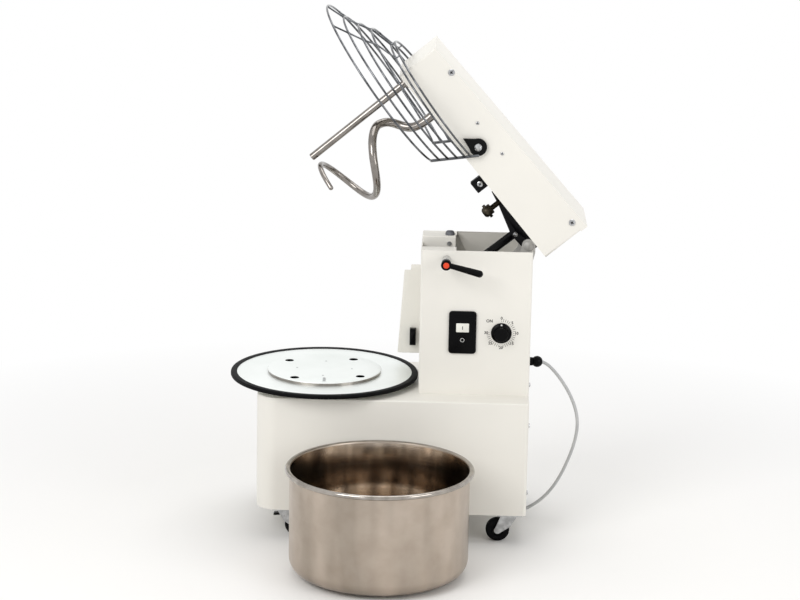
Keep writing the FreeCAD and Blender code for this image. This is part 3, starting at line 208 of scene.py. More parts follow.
def from_curve(curve):
    """The shape that a curve or a text makes; the curve itself is removed."""
    holder = bpy.data.objects.new(curve.name, curve)
    mesh = bpy.data.meshes.new_from_object(holder)
    shape = bmesh.new()
    shape.from_mesh(mesh)
    bpy.data.objects.remove(holder)
    bpy.data.curves.remove(curve)
    bpy.data.meshes.remove(mesh)
    return shape


def swept(points, radius, radii=None, order=4, resolution=6, sides=4):
    """A round rod along a smooth line that follows its points."""
    curve = bpy.data.curves.new("swept", "CURVE")
    curve.dimensions = "3D"
    curve.bevel_depth = radius
    curve.bevel_resolution = sides
    curve.use_fill_caps = True
    curve.resolution_u = resolution
    line = curve.splines.new("NURBS" if order > 2 else "POLY")
    line.points.add(len(points) - 1)
    for index, (item, point) in enumerate(zip(line.points, points)):
        item.co = (*point, 1)
        item.radius = radii[index] / radius if radii else 1
    if order > 2:
        line.order_u = order
        line.use_endpoint_u = True
    return from_curve(curve)


def bar(start, end, radius, sides=16):
    """A straight round bar."""
    start, end = Vector(start), Vector(end)
    shape = bmesh.new()
    turn = (end - start).to_track_quat("Z", "Y").to_matrix().to_4x4()
    bmesh.ops.create_cone(shape, cap_ends=True, segments=sides, radius1=radius,
                          radius2=radius, depth=(end - start).length,
                          matrix=Matrix.Translation((start + end) / 2) @ turn)
    return shape


def ball(centre, radius, sides=16):
    """A ball that rounds off the end of a rod."""
    shape = bmesh.new()
    bmesh.ops.create_uvsphere(shape, u_segments=sides, v_segments=sides // 2, radius=radius,
                              matrix=Matrix.Translation(centre))
    return shape


def place(name, shape, matrix, finish, body, replaces=(), angle=35):
    """Makes a finished piece of a shape, in its place, on its body."""
    shape.transform(matrix)
    mesh = bpy.data.meshes.new(name)
    shape.to_mesh(mesh)
    shape.free()
    mesh.shade_smooth()
    mesh.set_sharp_from_angle(angle=math.radians(angle))
    piece = bpy.data.objects.new(name, mesh)
    bpy.context.scene.collection.objects.link(piece)
    piece.data.materials.append(FINISH[finish])
    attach(piece, body)
    if replaces:
        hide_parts(*replaces)
    return piece


def smoothed(node, name, finish):
    """A merged copy of a CAD node, with its curved faces shaded smooth, in the node's place."""
    shape = bmesh.new()
    shape.from_mesh(frame["nodes"][node].data)
    bmesh.ops.remove_doubles(shape, verts=shape.verts, dist=1e-6)
    body = frame["nodes"][node]["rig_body"]
    return place(name, shape, Matrix.Identity(4), finish, body, [node], 30)


def finish_node(node, finish):
    """Gives a CAD node its finish."""
    materials = frame["nodes"][node].data.materials
    materials.clear()
    materials.append(FINISH[finish])


# ------------------------------------------------------------------ finishes

# A pattern's scale counts its cells in a metre: 650 makes cells of about 1.5 mm.

def add(tree, kind, links=None, **settings):
    """Adds a node with its settings; links gives each input its value or the socket it reads."""
    item = tree.nodes.new(kind)
    for name, value in settings.items():
        setattr(item, name, value)
    for name, value in (links or {}).items():
        target = item.inputs[name]
        if isinstance(value, bpy.types.NodeSocket):
            tree.links.new(value, target)
        else:
            target.default_value = value
    return item


def material(name, **constants):
    """A new material with its shader's constants set, and its node tree."""
    made = bpy.data.materials.new(name)
    made.use_nodes = True
    shader = made.node_tree.nodes["Principled BSDF"]
    for socket, value in constants.items():
        shader.inputs[socket.replace("_", " ")].default_value = value
    return made, made.node_tree


def object_points(tree, scale=(1, 1, 1), centre=None):
    """A piece's own coordinates in metres, from a centre where there is one, then scaled."""
    points = add(tree, "ShaderNodeTexCoord").outputs["Object"]
    if centre is not None:
        points = add(tree, "ShaderNodeMapping", {"Vector": points, "Location": centre},
                     vector_type="TEXTURE").outputs["Vector"]
    return add(tree, "ShaderNodeMapping", {"Vector": points, "Scale": scale}).outputs["Vector"]


def mottle(tree, vector, scale, dark, light, detail=3.0, low=0.35, high=0.65):
    """A colour that drifts between two tones."""
    noise = add(tree, "ShaderNodeTexNoise", {"Vector": vector, "Scale": scale, "Detail": detail})
    ramp = add(tree, "ShaderNodeValToRGB", {"Fac": noise.outputs["Fac"]})
    ramp.color_ramp.elements[0].position = low
    ramp.color_ramp.elements[0].color = dark
    ramp.color_ramp.elements[1].position = high
    ramp.color_ramp.elements[1].color = light
    return ramp.outputs["Color"]


def dressed(made, tint, wear, relief, strength, depth):
    """Links a material's colour, its roughness and its relief, whose depth is in metres. Each
    pattern of wear runs between two numbers, and the roughness is their sum."""
    tree = made.node_tree
    rough = None
    for pattern, low, high in wear:
        part = add(tree, "ShaderNodeMapRange", {"Value": pattern.outputs["Fac"], "To Min": low,
                                                "To Max": high})
        rough = part if rough is None else add(
            tree, "ShaderNodeMath", {0: rough.outputs[0], 1: part.outputs[0]}, operation="ADD")
    bump = add(tree, "ShaderNodeBump", {"Height": relief.outputs["Fac"], "Strength": strength,
                                        "Distance": depth})
    for socket, value in (("Base Color", tint), ("Roughness", rough.outputs[0]),
                          ("Normal", bump.outputs["Normal"])):
        tree.links.new(value, tree.nodes["Principled BSDF"].inputs[socket])
    return made


def shade(colour, factor):
    """A darker or lighter tone of a colour."""
    return [c * factor for c in colour[:3]] + [1.0]


def powder_coat(name, colour, shine=0.45):
    """Baked polyester powder coat on sheet steel: even and half gloss, with orange peel."""
    made, tree = material(name, Metallic=0.0, IOR=1.5, Specular_IOR_Level=shine)
    points = object_points(tree)
    tint = mottle(tree, points, 5.0, shade(colour, 0.965), colour)
    # orange peel has cells of about 1.5 mm, and wiping leaves smears of about 70 mm
    peel = add(tree, "ShaderNodeTexNoise", {"Vector": points, "Scale": 650.0, "Detail": 1.0})
    smear = add(tree, "ShaderNodeTexNoise", {"Vector": points, "Scale": 14.0, "Detail": 4.0})
    return dressed(made, tint, [(smear, 0.34, 0.46)], peel, 0.12, 0.0004)


def moulded(name, colour, roughness, shine=0.4):
    """Injection moulded plastic: an even colour under a fine spark-eroded grain."""
    made, tree = material(name, IOR=1.49, Specular_IOR_Level=shine)
    points = object_points(tree)
    tint = mottle(tree, points, 30.0, shade(colour, 0.9), colour)
    # the real grain is about 0.1 mm; it is drawn ten times as coarse, or it wouldn't show
    grain = add(tree, "ShaderNodeTexNoise", {"Vector": points, "Scale": 900.0, "Detail": 1.0})
    return dressed(made, tint, [(grain, roughness - 0.06, roughness + 0.06)], grain, 0.1, 0.0002)


def rubber(name, hex_colour="#060607"):
    """Extruded or moulded rubber: dull black, a little grey where dust and wear have got in."""
    made, tree = material(name, IOR=1.52, Specular_IOR_Level=0.07)
    points = object_points(tree)
    dark = linear(hex_colour)
    tint = mottle(tree, points, 60.0, dark, shade(dark, 1.9), detail=6.0)
    # dust gathers in specks of about 3 mm
    dust = add(tree, "ShaderNodeTexNoise", {"Vector": points, "Scale": 300.0, "Detail": 4.0})
    return dressed(made, tint, [(dust, 0.42, 0.68)], dust, 0.15, 0.0003)


def spun(name, hex_dark, hex_light, centre, roughness, bands=2.2, smudge="#F2F0EE"):
    """Spun stainless steel: soft upright bands that are painted reflections, fine level rings and
    the smudges of handling.
    """
    made, tree = material(name, Metallic=1.0)
    points = object_points(tree, centre=centre)
    # a direction round the axis, which drifts a little with height, has no seam
    flat = add(tree, "ShaderNodeVectorMath", {0: points, 1: (1, 1, 0)}, operation="MULTIPLY")
    outward = add(tree, "ShaderNodeVectorMath", {0: flat.outputs[0]}, operation="NORMALIZE")
    rise = add(tree, "ShaderNodeVectorMath", {0: points, 1: (0, 0, 1.2)}, operation="MULTIPLY")
    around = add(tree, "ShaderNodeVectorMath", {0: outward.outputs[0], 1: rise.outputs[0]},
                 operation="ADD")
    # the upright bands are painted reflections: dark and light streaks set into the steel's colour
    upright = mottle(tree, around.outputs[0], bands, linear(hex_dark), linear(hex_light), 2.0,
                     0.38, 0.62)
    handled = mottle(tree, points, 24.0, linear(smudge), (1, 1, 1, 1), 9.0, 0.3, 0.62)
    tint = add(tree, "ShaderNodeMix", {"Factor": 1.0, 6: upright, 7: handled},
               data_type="RGBA", blend_type="MULTIPLY")
    # the roller leaves a ring about every 1.5 mm; handling marks are 40 to 60 mm across
    rings = add(tree, "ShaderNodeTexNoise", {"Vector": object_points(tree, (3, 3, 650), centre),
                                             "Scale": 1.0, "Detail": 4.0})
    marks = add(tree, "ShaderNodeTexNoise", {"Vector": points, "Scale": 16.0, "Detail": 6.0,
                                             "Roughness": 0.6})
    wear = [(marks, -0.04, 0.05), (rings, roughness - 0.05, roughness + 0.05)]
    return dressed(made, tint.outputs[2], wear, rings, 0.3, 0.00006)


def ringed(name, hex_dark, hex_light, centre, roughness):
    """Steel faced on a lathe: fine rings round one centre, brighter and duller in turn."""
    made, tree = material(name, Metallic=1.0)
    points = object_points(tree, centre=centre)
    tint = mottle(tree, points, 6.0, linear(hex_dark), linear(hex_light), 4.0, 0.3, 0.7)
    # from ring to ring, in metres; real tool marks are finer, and wouldn't show
    spacing = 0.0011
    flat = add(tree, "ShaderNodeVectorMath", {0: points, 1: (1, 1, 0)}, operation="MULTIPLY")
    radius = add(tree, "ShaderNodeVectorMath", {0: flat.outputs[0]}, operation="LENGTH")
    out = add(tree, "ShaderNodeMath", {0: radius.outputs["Value"], 1: 1 / spacing},
              operation="MULTIPLY")
    rings = add(tree, "ShaderNodeTexNoise", {"W": out.outputs[0], "Scale": 1.0, "Detail": 3.0},
                noise_dimensions="1D")
    cloud = add(tree, "ShaderNodeTexNoise", {"Vector": points, "Scale": 8.0, "Detail": 4.0})
    wear = [(cloud, -0.05, 0.05), (rings, roughness - 0.04, roughness + 0.04)]
    return dressed(made, tint, wear, rings, 0.1, 0.00005)


def plated(name, hex_dark, hex_light, roughness, scale=120.0):
    """Plated or drawn steel: bright, with grime in patches half as wide as its tone drifts."""
    made, tree = material(name, Metallic=1.0)
    points = object_points(tree)
    tint = mottle(tree, points, scale, linear(hex_dark), linear(hex_light), 4.0)
    grime = add(tree, "ShaderNodeTexNoise", {"Vector": points, "Scale": scale * 2, "Detail": 5.0})
    return dressed(made, tint, [(grime, roughness * 0.6, roughness * 1.4)], grime, 0.05, 0.0002)


def sheath(name, colour):
    """Extruded PVC sheath: even grey, softly glossy, with the lay of the cores just showing."""
    made, tree = material(name, IOR=1.53, Specular_IOR_Level=0.4)
    points = object_points(tree)
    tint = mottle(tree, points, 25.0, shade(colour, 0.88), colour)
    # a wave's bands come about 8 mm apart at this scale
    lay = add(tree, "ShaderNodeTexWave", {"Vector": points, "Scale": 40.0, "Distortion": 2.0})
    return dressed(made, tint, [(lay, 0.36, 0.48)], lay, 0.06, 0.0003)


FINISH = {}


def make_finishes(chosen):
    """Makes every finish, by the name that the pieces ask for."""
    bowl = spot(*BOWL_PLACE)
    table = spot(0, 0, 0)
    FINISH.update({
        # half gloss on the sheets, dull black on the brackets
        "paint": powder_coat("Powder_coat_cream", chosen.paint),
        "paint_grey": powder_coat("Powder_coat_grey", linear("#BDBBB7")),
        "black_steel": powder_coat("Black_stoved_enamel", linear("#08080A"), 0.12),
        # satin outside, a blurred mirror inside, and a bright line at the rim
        "steel_outside": spun("Spun_stainless", "#A3988C", "#BEB1A4", bowl, 0.32),
        # the inside is the same steel; its darker, stronger bands are painted reflections
        "steel_inside": spun("Spun_stainless_inside_painted_reflections", "#82766A", "#D2C6B8", bowl, 0.13, 3.4,
                             "#ECE8E3"),
        "bead": plated("Polished_stainless_bead", "#918B84", "#ADA7A0", 0.1, 40.0),
        # fine rings that catch the light
        "disc": ringed("Faced_stainless", "#E6EAE7", "#F2F5F3", table, 0.42),
        # ground and chromed steel mirror their surroundings; zinc and cast iron are dull
        "bar": plated("Ground_stainless", "#827D78", "#938E89", 0.13, 90.0),
        # the chromed wire is coloured far darker than chrome: painted dark reflections
        "wire": plated("Chromed_wire_painted_dark_reflections", "#47494C", "#77797C", 0.08, 60.0),
        "chrome": plated("Bright_chrome", "#A2A3A5", "#C9CACB", 0.12),
        "zinc": plated("Zinc_plate", "#A4A5A6", "#C6C7C8", 0.32),
        "iron": plated("Grey_cast_iron", "#4A4C4E", "#5C5E60", 0.7, 60.0),
        "bronze": plated("Bronzed_brass", "#2A2620", "#4B453A", 0.35),
        # rubber is matt; nylon and plastic have a soft shine, and print has none
        "rubber": rubber("Black_rubber"),
        "bumper": rubber("Grey_rubber", "#55565A"),
        "plastic": moulded("Black_nylon", linear("#050506"), 0.3, 0.09),
        "white": moulded("White_moulded_plastic", linear("#ECEBE2"), 0.3),
        "cap": moulded("Orange_moulded_plastic", chosen.cap, 0.3),
        "lead": sheath("Grey_PVC_sheath", chosen.lead),
        "ink": moulded("Black_screen_print", linear("#0A0A0C"), 0.6, 0.1),
        "white_ink": moulded("White_screen_print", linear("#F2F2EE"), 0.5),
    })


# ------------------------------------------------------------------ stage

class MixerStage(bpy.types.Operator):
    """Floor, plain soft light and the camera"""
    bl_idname = "mixer.stage"
    bl_label = "Stage"

    def execute(self, context):
        scene = context.scene
        floor = bmesh.new()
        bmesh.ops.create_grid(floor, x_segments=1, y_segments=1, size=30)
        mesh = bpy.data.meshes.new("floor")
        floor.to_mesh(mesh)
        floor.free()
        ground = bpy.data.objects.new("floor", mesh)
        scene.collection.objects.link(ground)
        made, tree = material("Pale_floor", Roughness=0.9, Specular_IOR_Level=0.1)
        shader = tree.nodes["Principled BSDF"]
        shader.inputs["Base Color"].default_value = linear("#F4F3F1")
        # between these distances, in metres, the floor turns into the white background
        fade_start, fade_end = 0.7, 1.7
        distance = add(tree, "ShaderNodeVectorMath", {0: object_points(tree)}, operation="LENGTH")
        far = add(tree, "ShaderNodeMapRange", {"Value": distance.outputs["Value"],
                                               "From Min": fade_start, "From Max": fade_end})
        glow = add(tree, "ShaderNodeEmission", {"Color": (1, 1, 1, 1), "Strength": 1.0})
        mix = add(tree, "ShaderNodeMixShader", {0: far.outputs[0], 1: shader.outputs[0],
                                                2: glow.outputs[0]})
        tree.links.new(mix.outputs[0], tree.nodes["Material Output"].inputs["Surface"])
        ground.data.materials.append(made)

        world = bpy.data.worlds.new("studio")
        world.use_nodes = True
        scene.world = world
        tree = world.node_tree
        # the sky is full white to the eye and in reflections, and lights the object by less
        path = add(tree, "ShaderNodeLightPath")
        seen = path.outputs["Is Camera Ray"]
        for ray in ("Is Glossy Ray", "Is Transmission Ray"):
            seen = add(tree, "ShaderNodeMath", {0: seen, 1: path.outputs[ray]},
                       operation="MAXIMUM").outputs[0]
        strength = add(tree, "ShaderNodeMapRange", {"Value": seen, "To Min": 0.62, "To Max": 1.0})
        sky = tree.nodes["Background"]
        sky.inputs["Color"].default_value = (1, 1, 1, 1)
        tree.links.new(strength.outputs[0], sky.inputs["Strength"])

        # each lamp's place and side in metres, and its power in watts
        for name, spot_at, size, power in (("key", (-1.9, -2.6, 2.6), 1.8, 54.0),
                                           ("fill", (2.6, -2.2, 1.6), 1.6, 23.0),
                                           ("top", (0.2, 0.6, 3.2), 2.2, 30.0)):
            lamp = bpy.data.lights.new(name, "AREA")
            lamp.energy = power
            lamp.shape = "SQUARE"
            lamp.size = size
            holder = bpy.data.objects.new(name, lamp)
            holder.location = spot_at
            aim = Vector((0.15, 0, 0.5)) - Vector(spot_at)
            holder.rotation_euler = aim.to_track_quat("-Z", "Y").to_euler()
            scene.collection.objects.link(holder)

        camera = bpy.data.cameras.new("camera")
        camera.sensor_width = 36
        camera.lens = 111.57
        camera.clip_end = 100
        holder = bpy.data.objects.new("camera", camera)
        scene.collection.objects.link(holder)
        # the camera's own axes
        right = Vector((0.99937539, 0.03040995, 0.0180019))
        up = Vector((-0.02464444, 0.23463835, 0.97177029))
        back = Vector((0.02532755, -0.97160696, 0.23524123))
        turn = Matrix((right, up, back)).transposed().to_4x4()
        holder.matrix_world = Matrix.Translation(spot(289.43, -5068.30, 1706.79)) @ turn
        scene.camera = holder
        scene.view_settings.view_transform = "Standard"
        return {"FINISHED"}


# ------------------------------------------------------------------ mains lead

# the lead's way from the gland down to the floor and back to the coil
ROUTE = [
    (455.8, 0, 354.8), (466.9, 0.3, 350.3), (476.7, 0.9, 343.2), (488.3, 1.6, 331),
    (500.7, 2.4, 315.3), (514.3, 3.6, 294.8), (526.3, 5, 271.5), (535.5, 7, 246),
    (540.3, 9, 217), (537.6, 11.4, 187), (530.7, 13.5, 158), (521, 15.6, 129.5),
    (509.3, 17.8, 101), (494.4, 20.3, 73), (475.8, 22.8, 48.3), (453.5, 25.2, 28.5),
    (428, 28.8, 13.2), (400, 37, 4.8), (375, 54, 3.8), (356.5, 79, 3.9),
    (345.5, 108, 3.8), (340.5, 137, 3.9), (338.8, 165, 3.8), (338.5, 192, 3.8),
]
COIL_CENTRE = (300.0, 212.0)
# radius and height of the coil's turns, in the order in which the lead is wound
COIL_TURNS = [(42.3, 3.6), (35.2, 3.6), (35.2, 10.7), (35.2, 17.6), (42.3, 17.6), (42.3, 10.7)]


def coil_points(steps=16):
    """The lead's way round the coil, moving to the next turn over its last third."""
    points = []
    for index, (radius, height) in enumerate(COIL_TURNS):
        last = index == len(COIL_TURNS) - 1
        following = COIL_TURNS[index] if last else COIL_TURNS[index + 1]
        for step in range(1 if index == 0 else 0, steps // 2 + 1 if last else steps):
            share = max(0.0, (step / steps - 0.7) / 0.3)
            turn = math.tau * step / steps
            reach = (radius + (following[0] - radius) * share) * 1.01
            points.append((COIL_CENTRE[0] + reach * math.cos(turn),
                           COIL_CENTRE[1] + reach * math.sin(turn),
                           height + (following[1] - height) * share))
    return points


class MixerLead(bpy.types.Operator):
    """Mains lead with its gland, its coil and its plug"""
    bl_idname = "mixer.lead"
    bl_label = "Mains lead"

    def execute(self, context):
        sizes = context.scene.mixer_sizes
        low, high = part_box("mains_plug")
        middle = (low.z + high.z) / 2 * 1000
        tail, plug_gap = 20, 16     # from the coil to the lead's end and to the plug
        points = ROUTE + coil_points()
        points += [(points[-1][0], points[-1][1] - 8, middle + 1.2),
                   (points[-1][0], points[-1][1] - tail, middle)]
        curve = bpy.data.curves.new("mains_lead", "CURVE")
        curve.dimensions = "3D"
        curve.bevel_depth = sizes.lead_diameter / 2
        curve.bevel_resolution = 4
        curve.resolution_u = 6
        curve.use_fill_caps = True
        line = curve.splines.new("NURBS")
        line.points.add(len(points) - 1)
        for item, point in zip(line.points, points):
            item.co = (*spot(*point), 1)
        line.order_u = 3
        line.use_endpoint_u = True
        lead = bpy.data.objects.new("mains_lead", curve)
        context.scene.collection.objects.link(lead)
        lead.data.materials.append(FINISH["lead"])
        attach(lead, "root")
        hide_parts("power_cable", "power_cable_coil")

        outlet = to(COLUMN_REAR, 0, 353.5) @ turned(90, "Y")
        flange = lathe([(0, 0.1), (11.8, 0.1), (11.8, 2.2), (11.2, 2.9), (0, 2.9)], 6)
        relief = lathe([(0, 2.9), (8.9, 2.9), (8.9, 8.6)] + arc(0, 18, 11.9, -50, 62, 14)
                       + [(5.2, 28.9), (4.4, 28.2), (0, 28.2)], 40)
        rib = [(reach, 0, up) for reach, up in arc(0, 18, 11.5, -40, 45, 6)]
        rib_count = 16
        ribs = [moved(swept(rib, 0.45, order=2, sides=1),
                      Matrix.Rotation(math.tau * i / rib_count, 4, "Z")) for i in range(rib_count)]
        gland = place("cable_gland_body", join([flange, relief] + ribs), FLOOR @ outlet,
                      "plastic", "root", ["cable_gland"])

        depth = (high.y - low.y) * 1000
        across = (high.x - low.x) * 500
        flat = (high.z - low.z) * 500
        body_middle, body_length = 48, 34
        pin_side, pin_radius = 9.5, 2.3
        body = bmesh.new()
        bmesh.ops.create_cone(body, cap_ends=True, segments=48, radius1=across - 0.2,
                              radius2=across - 0.2, depth=body_length,
                              matrix=to(0, 0, body_middle))
        for vert in body.verts:
            vert.co.y = max(-flat + 0.1, min(flat - 0.1, vert.co.y))
        bmesh.ops.remove_doubles(body, verts=body.verts, dist=0.01)
        round_off(body, [e for e in body.edges if e.calc_face_angle(0) > 0.9], 2.0)
        neck = lathe([(0, 0), (4.2, 0), (4.6, 1)]
                     + [(4.8 + i * 0.4 + (0.4 if i % 2 else 0), 3 + i * 3.5) for i in range(8)]
                     + [(8.0, 32), (0, 32)], 32)
        pins = [bar((side * pin_side, 0, 64), (side * pin_side, 0, depth - 0.3), pin_radius, 20)
                for side in (-1, 1)]
        axis = to(points[-1][0], points[-1][1] + tail - plug_gap, middle) @ FRONTWARD
        plug = place("mains_plug_body", join([body, neck]), FLOOR @ axis, "plastic", "root",
                     ["mains_plug"])
        contacts = place("mains_plug_pins", join(pins), FLOOR @ axis, "zinc", "root")
        return {"FINISHED"}


# ------------------------------------------------------------------ sheet metal

class MixerHousing(bpy.types.Operator):
    """Base, column, wing and head in painted sheet steel"""
    bl_idname = "mixer.housing"
    bl_label = "Housing"

    def execute(self, context):
        bottom, top, wall = 62, 304, 2.0
        shell = block((-133, -158.5, bottom), (COLUMN_REAR, 158.5, top))

        def upright(wanted):
            return [e for e in shell.edges if all(wanted(v.co.x) for v in e.verts)
                    and abs(e.verts[0].co.z - e.verts[1].co.z) > 1]

        round_off(shell, upright(lambda x: x < 0), 45, 14)
        round_off(shell, upright(lambda x: x > COLUMN_REAR - 0.4), 8, 6)
        rim = [e for e in shell.edges if all(v.co.z > top - 0.1 for v in e.verts)]
        round_off(shell, rim, 3, 4)
        under = [f for f in shell.faces if f.calc_center_median().z < bottom + 0.1]
        bmesh.ops.delete(shell, geom=under, context="FACES")
        bmesh.ops.recalc_face_normals(shell, faces=shell.faces)
        if sum(f.normal.z * f.calc_area() for f in shell.faces) < 0:
            bmesh.ops.reverse_faces(shell, faces=shell.faces)
        bmesh.ops.solidify(shell, geom=shell.faces[:], thickness=wall)
        place("base_housing", shell, FLOOR, "paint", "root", ["base_shell"])
        for node, name in (("column_shell", "column_housing"), ("side_wing", "side_wing_sheet"),
                           ("rest_bracket", "rest_channel"), ("head_shell", "head_housing"),
                           ("head_cover", "head_lid")):
            smoothed(node, name, "paint")
        finish_node("base_floor", "paint")
        smoothed("hinge_bracket", "hinge_ears", "paint_grey")
        smoothed("bowl_switch", "bowl_switch_case", "plastic")
        dome = lathe([(0, 0), (9.9, 0), (9.9, 1)] + arc(0, 1, 9.9, 10, 45, 5)
                     + [(5.4, 8.3), (3.6, 8.5), (0, 8.6)], 40)
        low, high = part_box("rest_bumper")
        seat = to((low.x + high.x) / 2, (low.y + high.y) / 2, low.z) @ MILLIMETRES
        place("rest_bumper_dome", dome, seat, "bumper", "root", ["rest_bumper"])
        return {"FINISHED"}


# ------------------------------------------------------------------ turntable and bowl

class MixerTurntable(bpy.types.Operator):
    """Turntable disc, its rubber edge and the plate that the bowl drops on"""
    bl_idname = "mixer.turntable"
    bl_label = "Turntable"

    def execute(self, context):
        bottom, top, hub_radius, disc_radius = 318.0, 320.9, 15.2, 193.8
        disc = lathe([(hub_radius, bottom), (disc_radius, bottom), (disc_radius, top),
                      (hub_radius, top)], 160)
        place("turntable_plate", disc, FLOOR, "disc", "turntable", ["turntable_disc"])
        inner, outer = 184.9, 198.3     # the rubber's lip on the disc, and its outside
        edge = lathe([(inner, 321.02), (inner + 0.3, 321.9)]
                     + arc(inner + 2.2, 320.4, 2.0, 130, 90, 3)
                     + arc(outer - 2.6, 319.9, 2.5, 90, 0, 4)
                     + arc(outer - 3.0, 316.6, 3.0, 0, -90, 4)
                     + [(193.9, 313.6), (193.9, 321.02)], 160)
        place("turntable_edging", edge, FLOOR, "rubber", "turntable", ["turntable_rim"])
        smoothed("bowl_plate", "bowl_seat_plate", "disc")
        linings, screws, screw_circle = [], [], 58
        for quarter in range(4):
            hole = turned(90 * quarter + STUD_TURN, "Z")
            lining = lathe([(0, 321.05), (9.4, 321.05), (9.4, 326.8), (9.2, 326.8), (9.2, 321.4),
                            (0, 321.4)], 36)
            linings.append(moved(lining, hole @ to(STUD_CIRCLE, 0, 0)))
            head = lathe([(0, 327), (2.2, 327), (2.2, 327.3), (1.2, 327.7), (0, 327.7)], 20)
            turn = turned(90 * quarter, "Z")
            screws.append(moved(head, turn @ to(screw_circle, 0, 0)))
        # a thin dark sleeve on the seat plate's rim is a painted shadow along its edge
        edge = lathe([(119.4, 321.05), (120.1, 321.05), (120.1, 326.3), (119.4, 326.3)], 160)
        place("seat_plate_shadow_ring", edge, FLOOR, "bar", "turntable")
        pin = lathe([(0, 326.9), (3, 326.9), (3, 332.8), (2.2, 333.6), (0, 333.6)], 24)
        place("seat_plate_pin", moved(pin, to(5, -99, 0)), FLOOR, "zinc", "turntable")
        place("seat_hole_linings", join(linings), FLOOR, "rubber", "turntable")
        place("seat_plate_screws", join(screws), FLOOR, "zinc", "turntable")
        smoothed("turntable_spindle", "turntable_spindle_part", "zinc")
        for node in ("turntable_hub", "turntable_gearbox", "turntable_motor"):
            smoothed(node, node + "_part", "iron")
        return {"FINISHED"}


class MixerBowl(bpy.types.Operator):
    """Spun stainless bowl with a rolled rim, a foot ring and four studs"""
    bl_idname = "mixer.bowl"
    bl_label = "Bowl"

    def execute(self, context):
        seat = FLOOR @ to(*BOWL_PLACE)
        outside = ([(0, 7.0), (150, 7.0)] + arc(150, 37, 30, -90, 0, 10)[1:]
                   + [(180, 120), (180, 208)] + arc(184.25, 216.5, 4.98, 215, 440, 18))
        inside = [(181.6, 220.7), (179.6, 219.6), (178.7, 217.0), (178.5, 120)]
        inside += arc(150, 37, 28.5, 0, -90, 10) + [(0, 8.5)]
        shell = lathe(outside + inside, 180)
        foot = lathe([(124.2, 7.2), (124.2, 0.4), (124.6, 0), (127.4, 0), (128, 0.6),
                      (128, 7.2)], 160)
        bowl = place("bowl_spun", join([shell, foot]), seat, "steel_outside", "bowl",
                     ["bowl"], 40)
        bowl.data.materials.append(FINISH["steel_inside"])
        bowl.data.materials.append(FINISH["bead"])
        # in metres: the bead's lowest and innermost faces, and the inside's highest and outermost
        bead_low, bead_in, inside_high, inside_out = 0.2125, 0.1792, 0.2155, 0.1795
        for face in bowl.data.polygons:
            middle, height = face.center, face.center.z
            out = Vector((middle.x - seat.translation.x, middle.y - seat.translation.y, 0))
            if height > bead_low and out.length > bead_in:
                face.material_index = 2
            inward = out.dot(face.normal) < -1e-4 * out.length
            if (out.length < inside_out and height < inside_high
                    and (inward or face.normal.z > 0.3)):
                face.material_index = 1
        studs = []
        for index in range(4):
            turn = math.radians(90 * index + STUD_TURN)
            stud = lathe([(0, 0), (7.6, 0), (9, 1.4), (9, 6), (0, 6)], 32)
            studs.append(moved(stud, to(STUD_CIRCLE * math.cos(turn),
                                        STUD_CIRCLE * math.sin(turn), 1)))
        place("bowl_drive_studs", join(studs), seat, "zinc", "bowl", ["bowl_studs"])
        return {"FINISHED"}


# ------------------------------------------------------------------ tools in the head

class MixerTools(bpy.types.Operator):
    """Breaker bar and spiral hook, with the drives inside the head"""
    bl_idname = "mixer.tools"
    bl_label = "Tools"

    def execute(self, context):
        profile = [(0, -243), (6.7, -243), (7.75, -242), (7.75, 5), (12.4, 5), (13, 5.6), (13, 17),
                   (0, 17)]
        rod = moved(lathe(profile, 48), to(BREAKER_AXIS, 0, 0))
        place("breaker_rod", rod, HEAD, "bar", "head", ["breaker_bar"])
        # the hook's coil: its top above the hinge, its radius, and the drops to its first turn
        # and to its end
        rise, coil, first, bottom = 17.0, 56.0, 109.0, 255.0
        reach = [(0, 0, -50, 9.5), (0, 0, -20, 9.5), (0, 0, 15, 9.5), (0, 0, 30, 9.5),
                 (0.04, 0.07, 0.48 * first, 9.5), (0.23, 0.21, 0.63 * first, 9.4),
                 (0.55, 0.32, 0.735 * first, 9.3), (0.86, 0.21, 0.84 * first, 9.2)]
        points = [(SPIRAL_AXIS - coil * out, coil * side, rise - drop)
                  for out, side, drop, _ in reach]
        radii = [r for *_, r in reach]
        middle = (bottom + 6 * first) / 7 * 1.63
        last_angle = 432
        for angle in range(0, last_angle + 1, 12):
            turn = math.radians(angle)
            if angle <= 180:
                drop, radius = first + (middle - first) * angle / 180, coil
            else:
                part = min((angle - 180) / 180, 1)
                drop = (middle + (bottom - middle) * (1 - (1 - part) ** 2)
                        + max(angle - 360, 0) / 18)
                radius = coil * (1 + 0.16 * part)
            points.append((SPIRAL_AXIS - radius * math.cos(turn), -radius * math.sin(turn),
                           rise - drop))
            radii.append(9.2 - 4.2 * angle / last_angle)
        hook = swept(points, 9.5, radii, resolution=5, sides=6)
        hook = join([hook, ball(Vector(points[-1]), radii[-1], 24)])
        place("spiral_rod", hook, HEAD, "bar", "spiral", ["spiral_hook"], 50)
        for node in ("spiral_gearbox", "spiral_motor"):
            smoothed(node, node + "_part", "iron")
        return {"FINISHED"}


# ------------------------------------------------------------------ guard

# For each wire: its place along the side arms from the lowest, how far its middle lies behind
# the head's front, and how far it stands out from the head's side.
GUARD_WIRES = [(0.0, 39.5, 136), (0.17, 31.5, 90), (0.36, 58.5, 88), (0.55, 76.5, 82),
               (0.72, 102, 58), (0.84, 102, 58)]
GUARD_PIVOT = HEAD @ to(-233, 0, 51.8) @ turned(3.15, "Y")


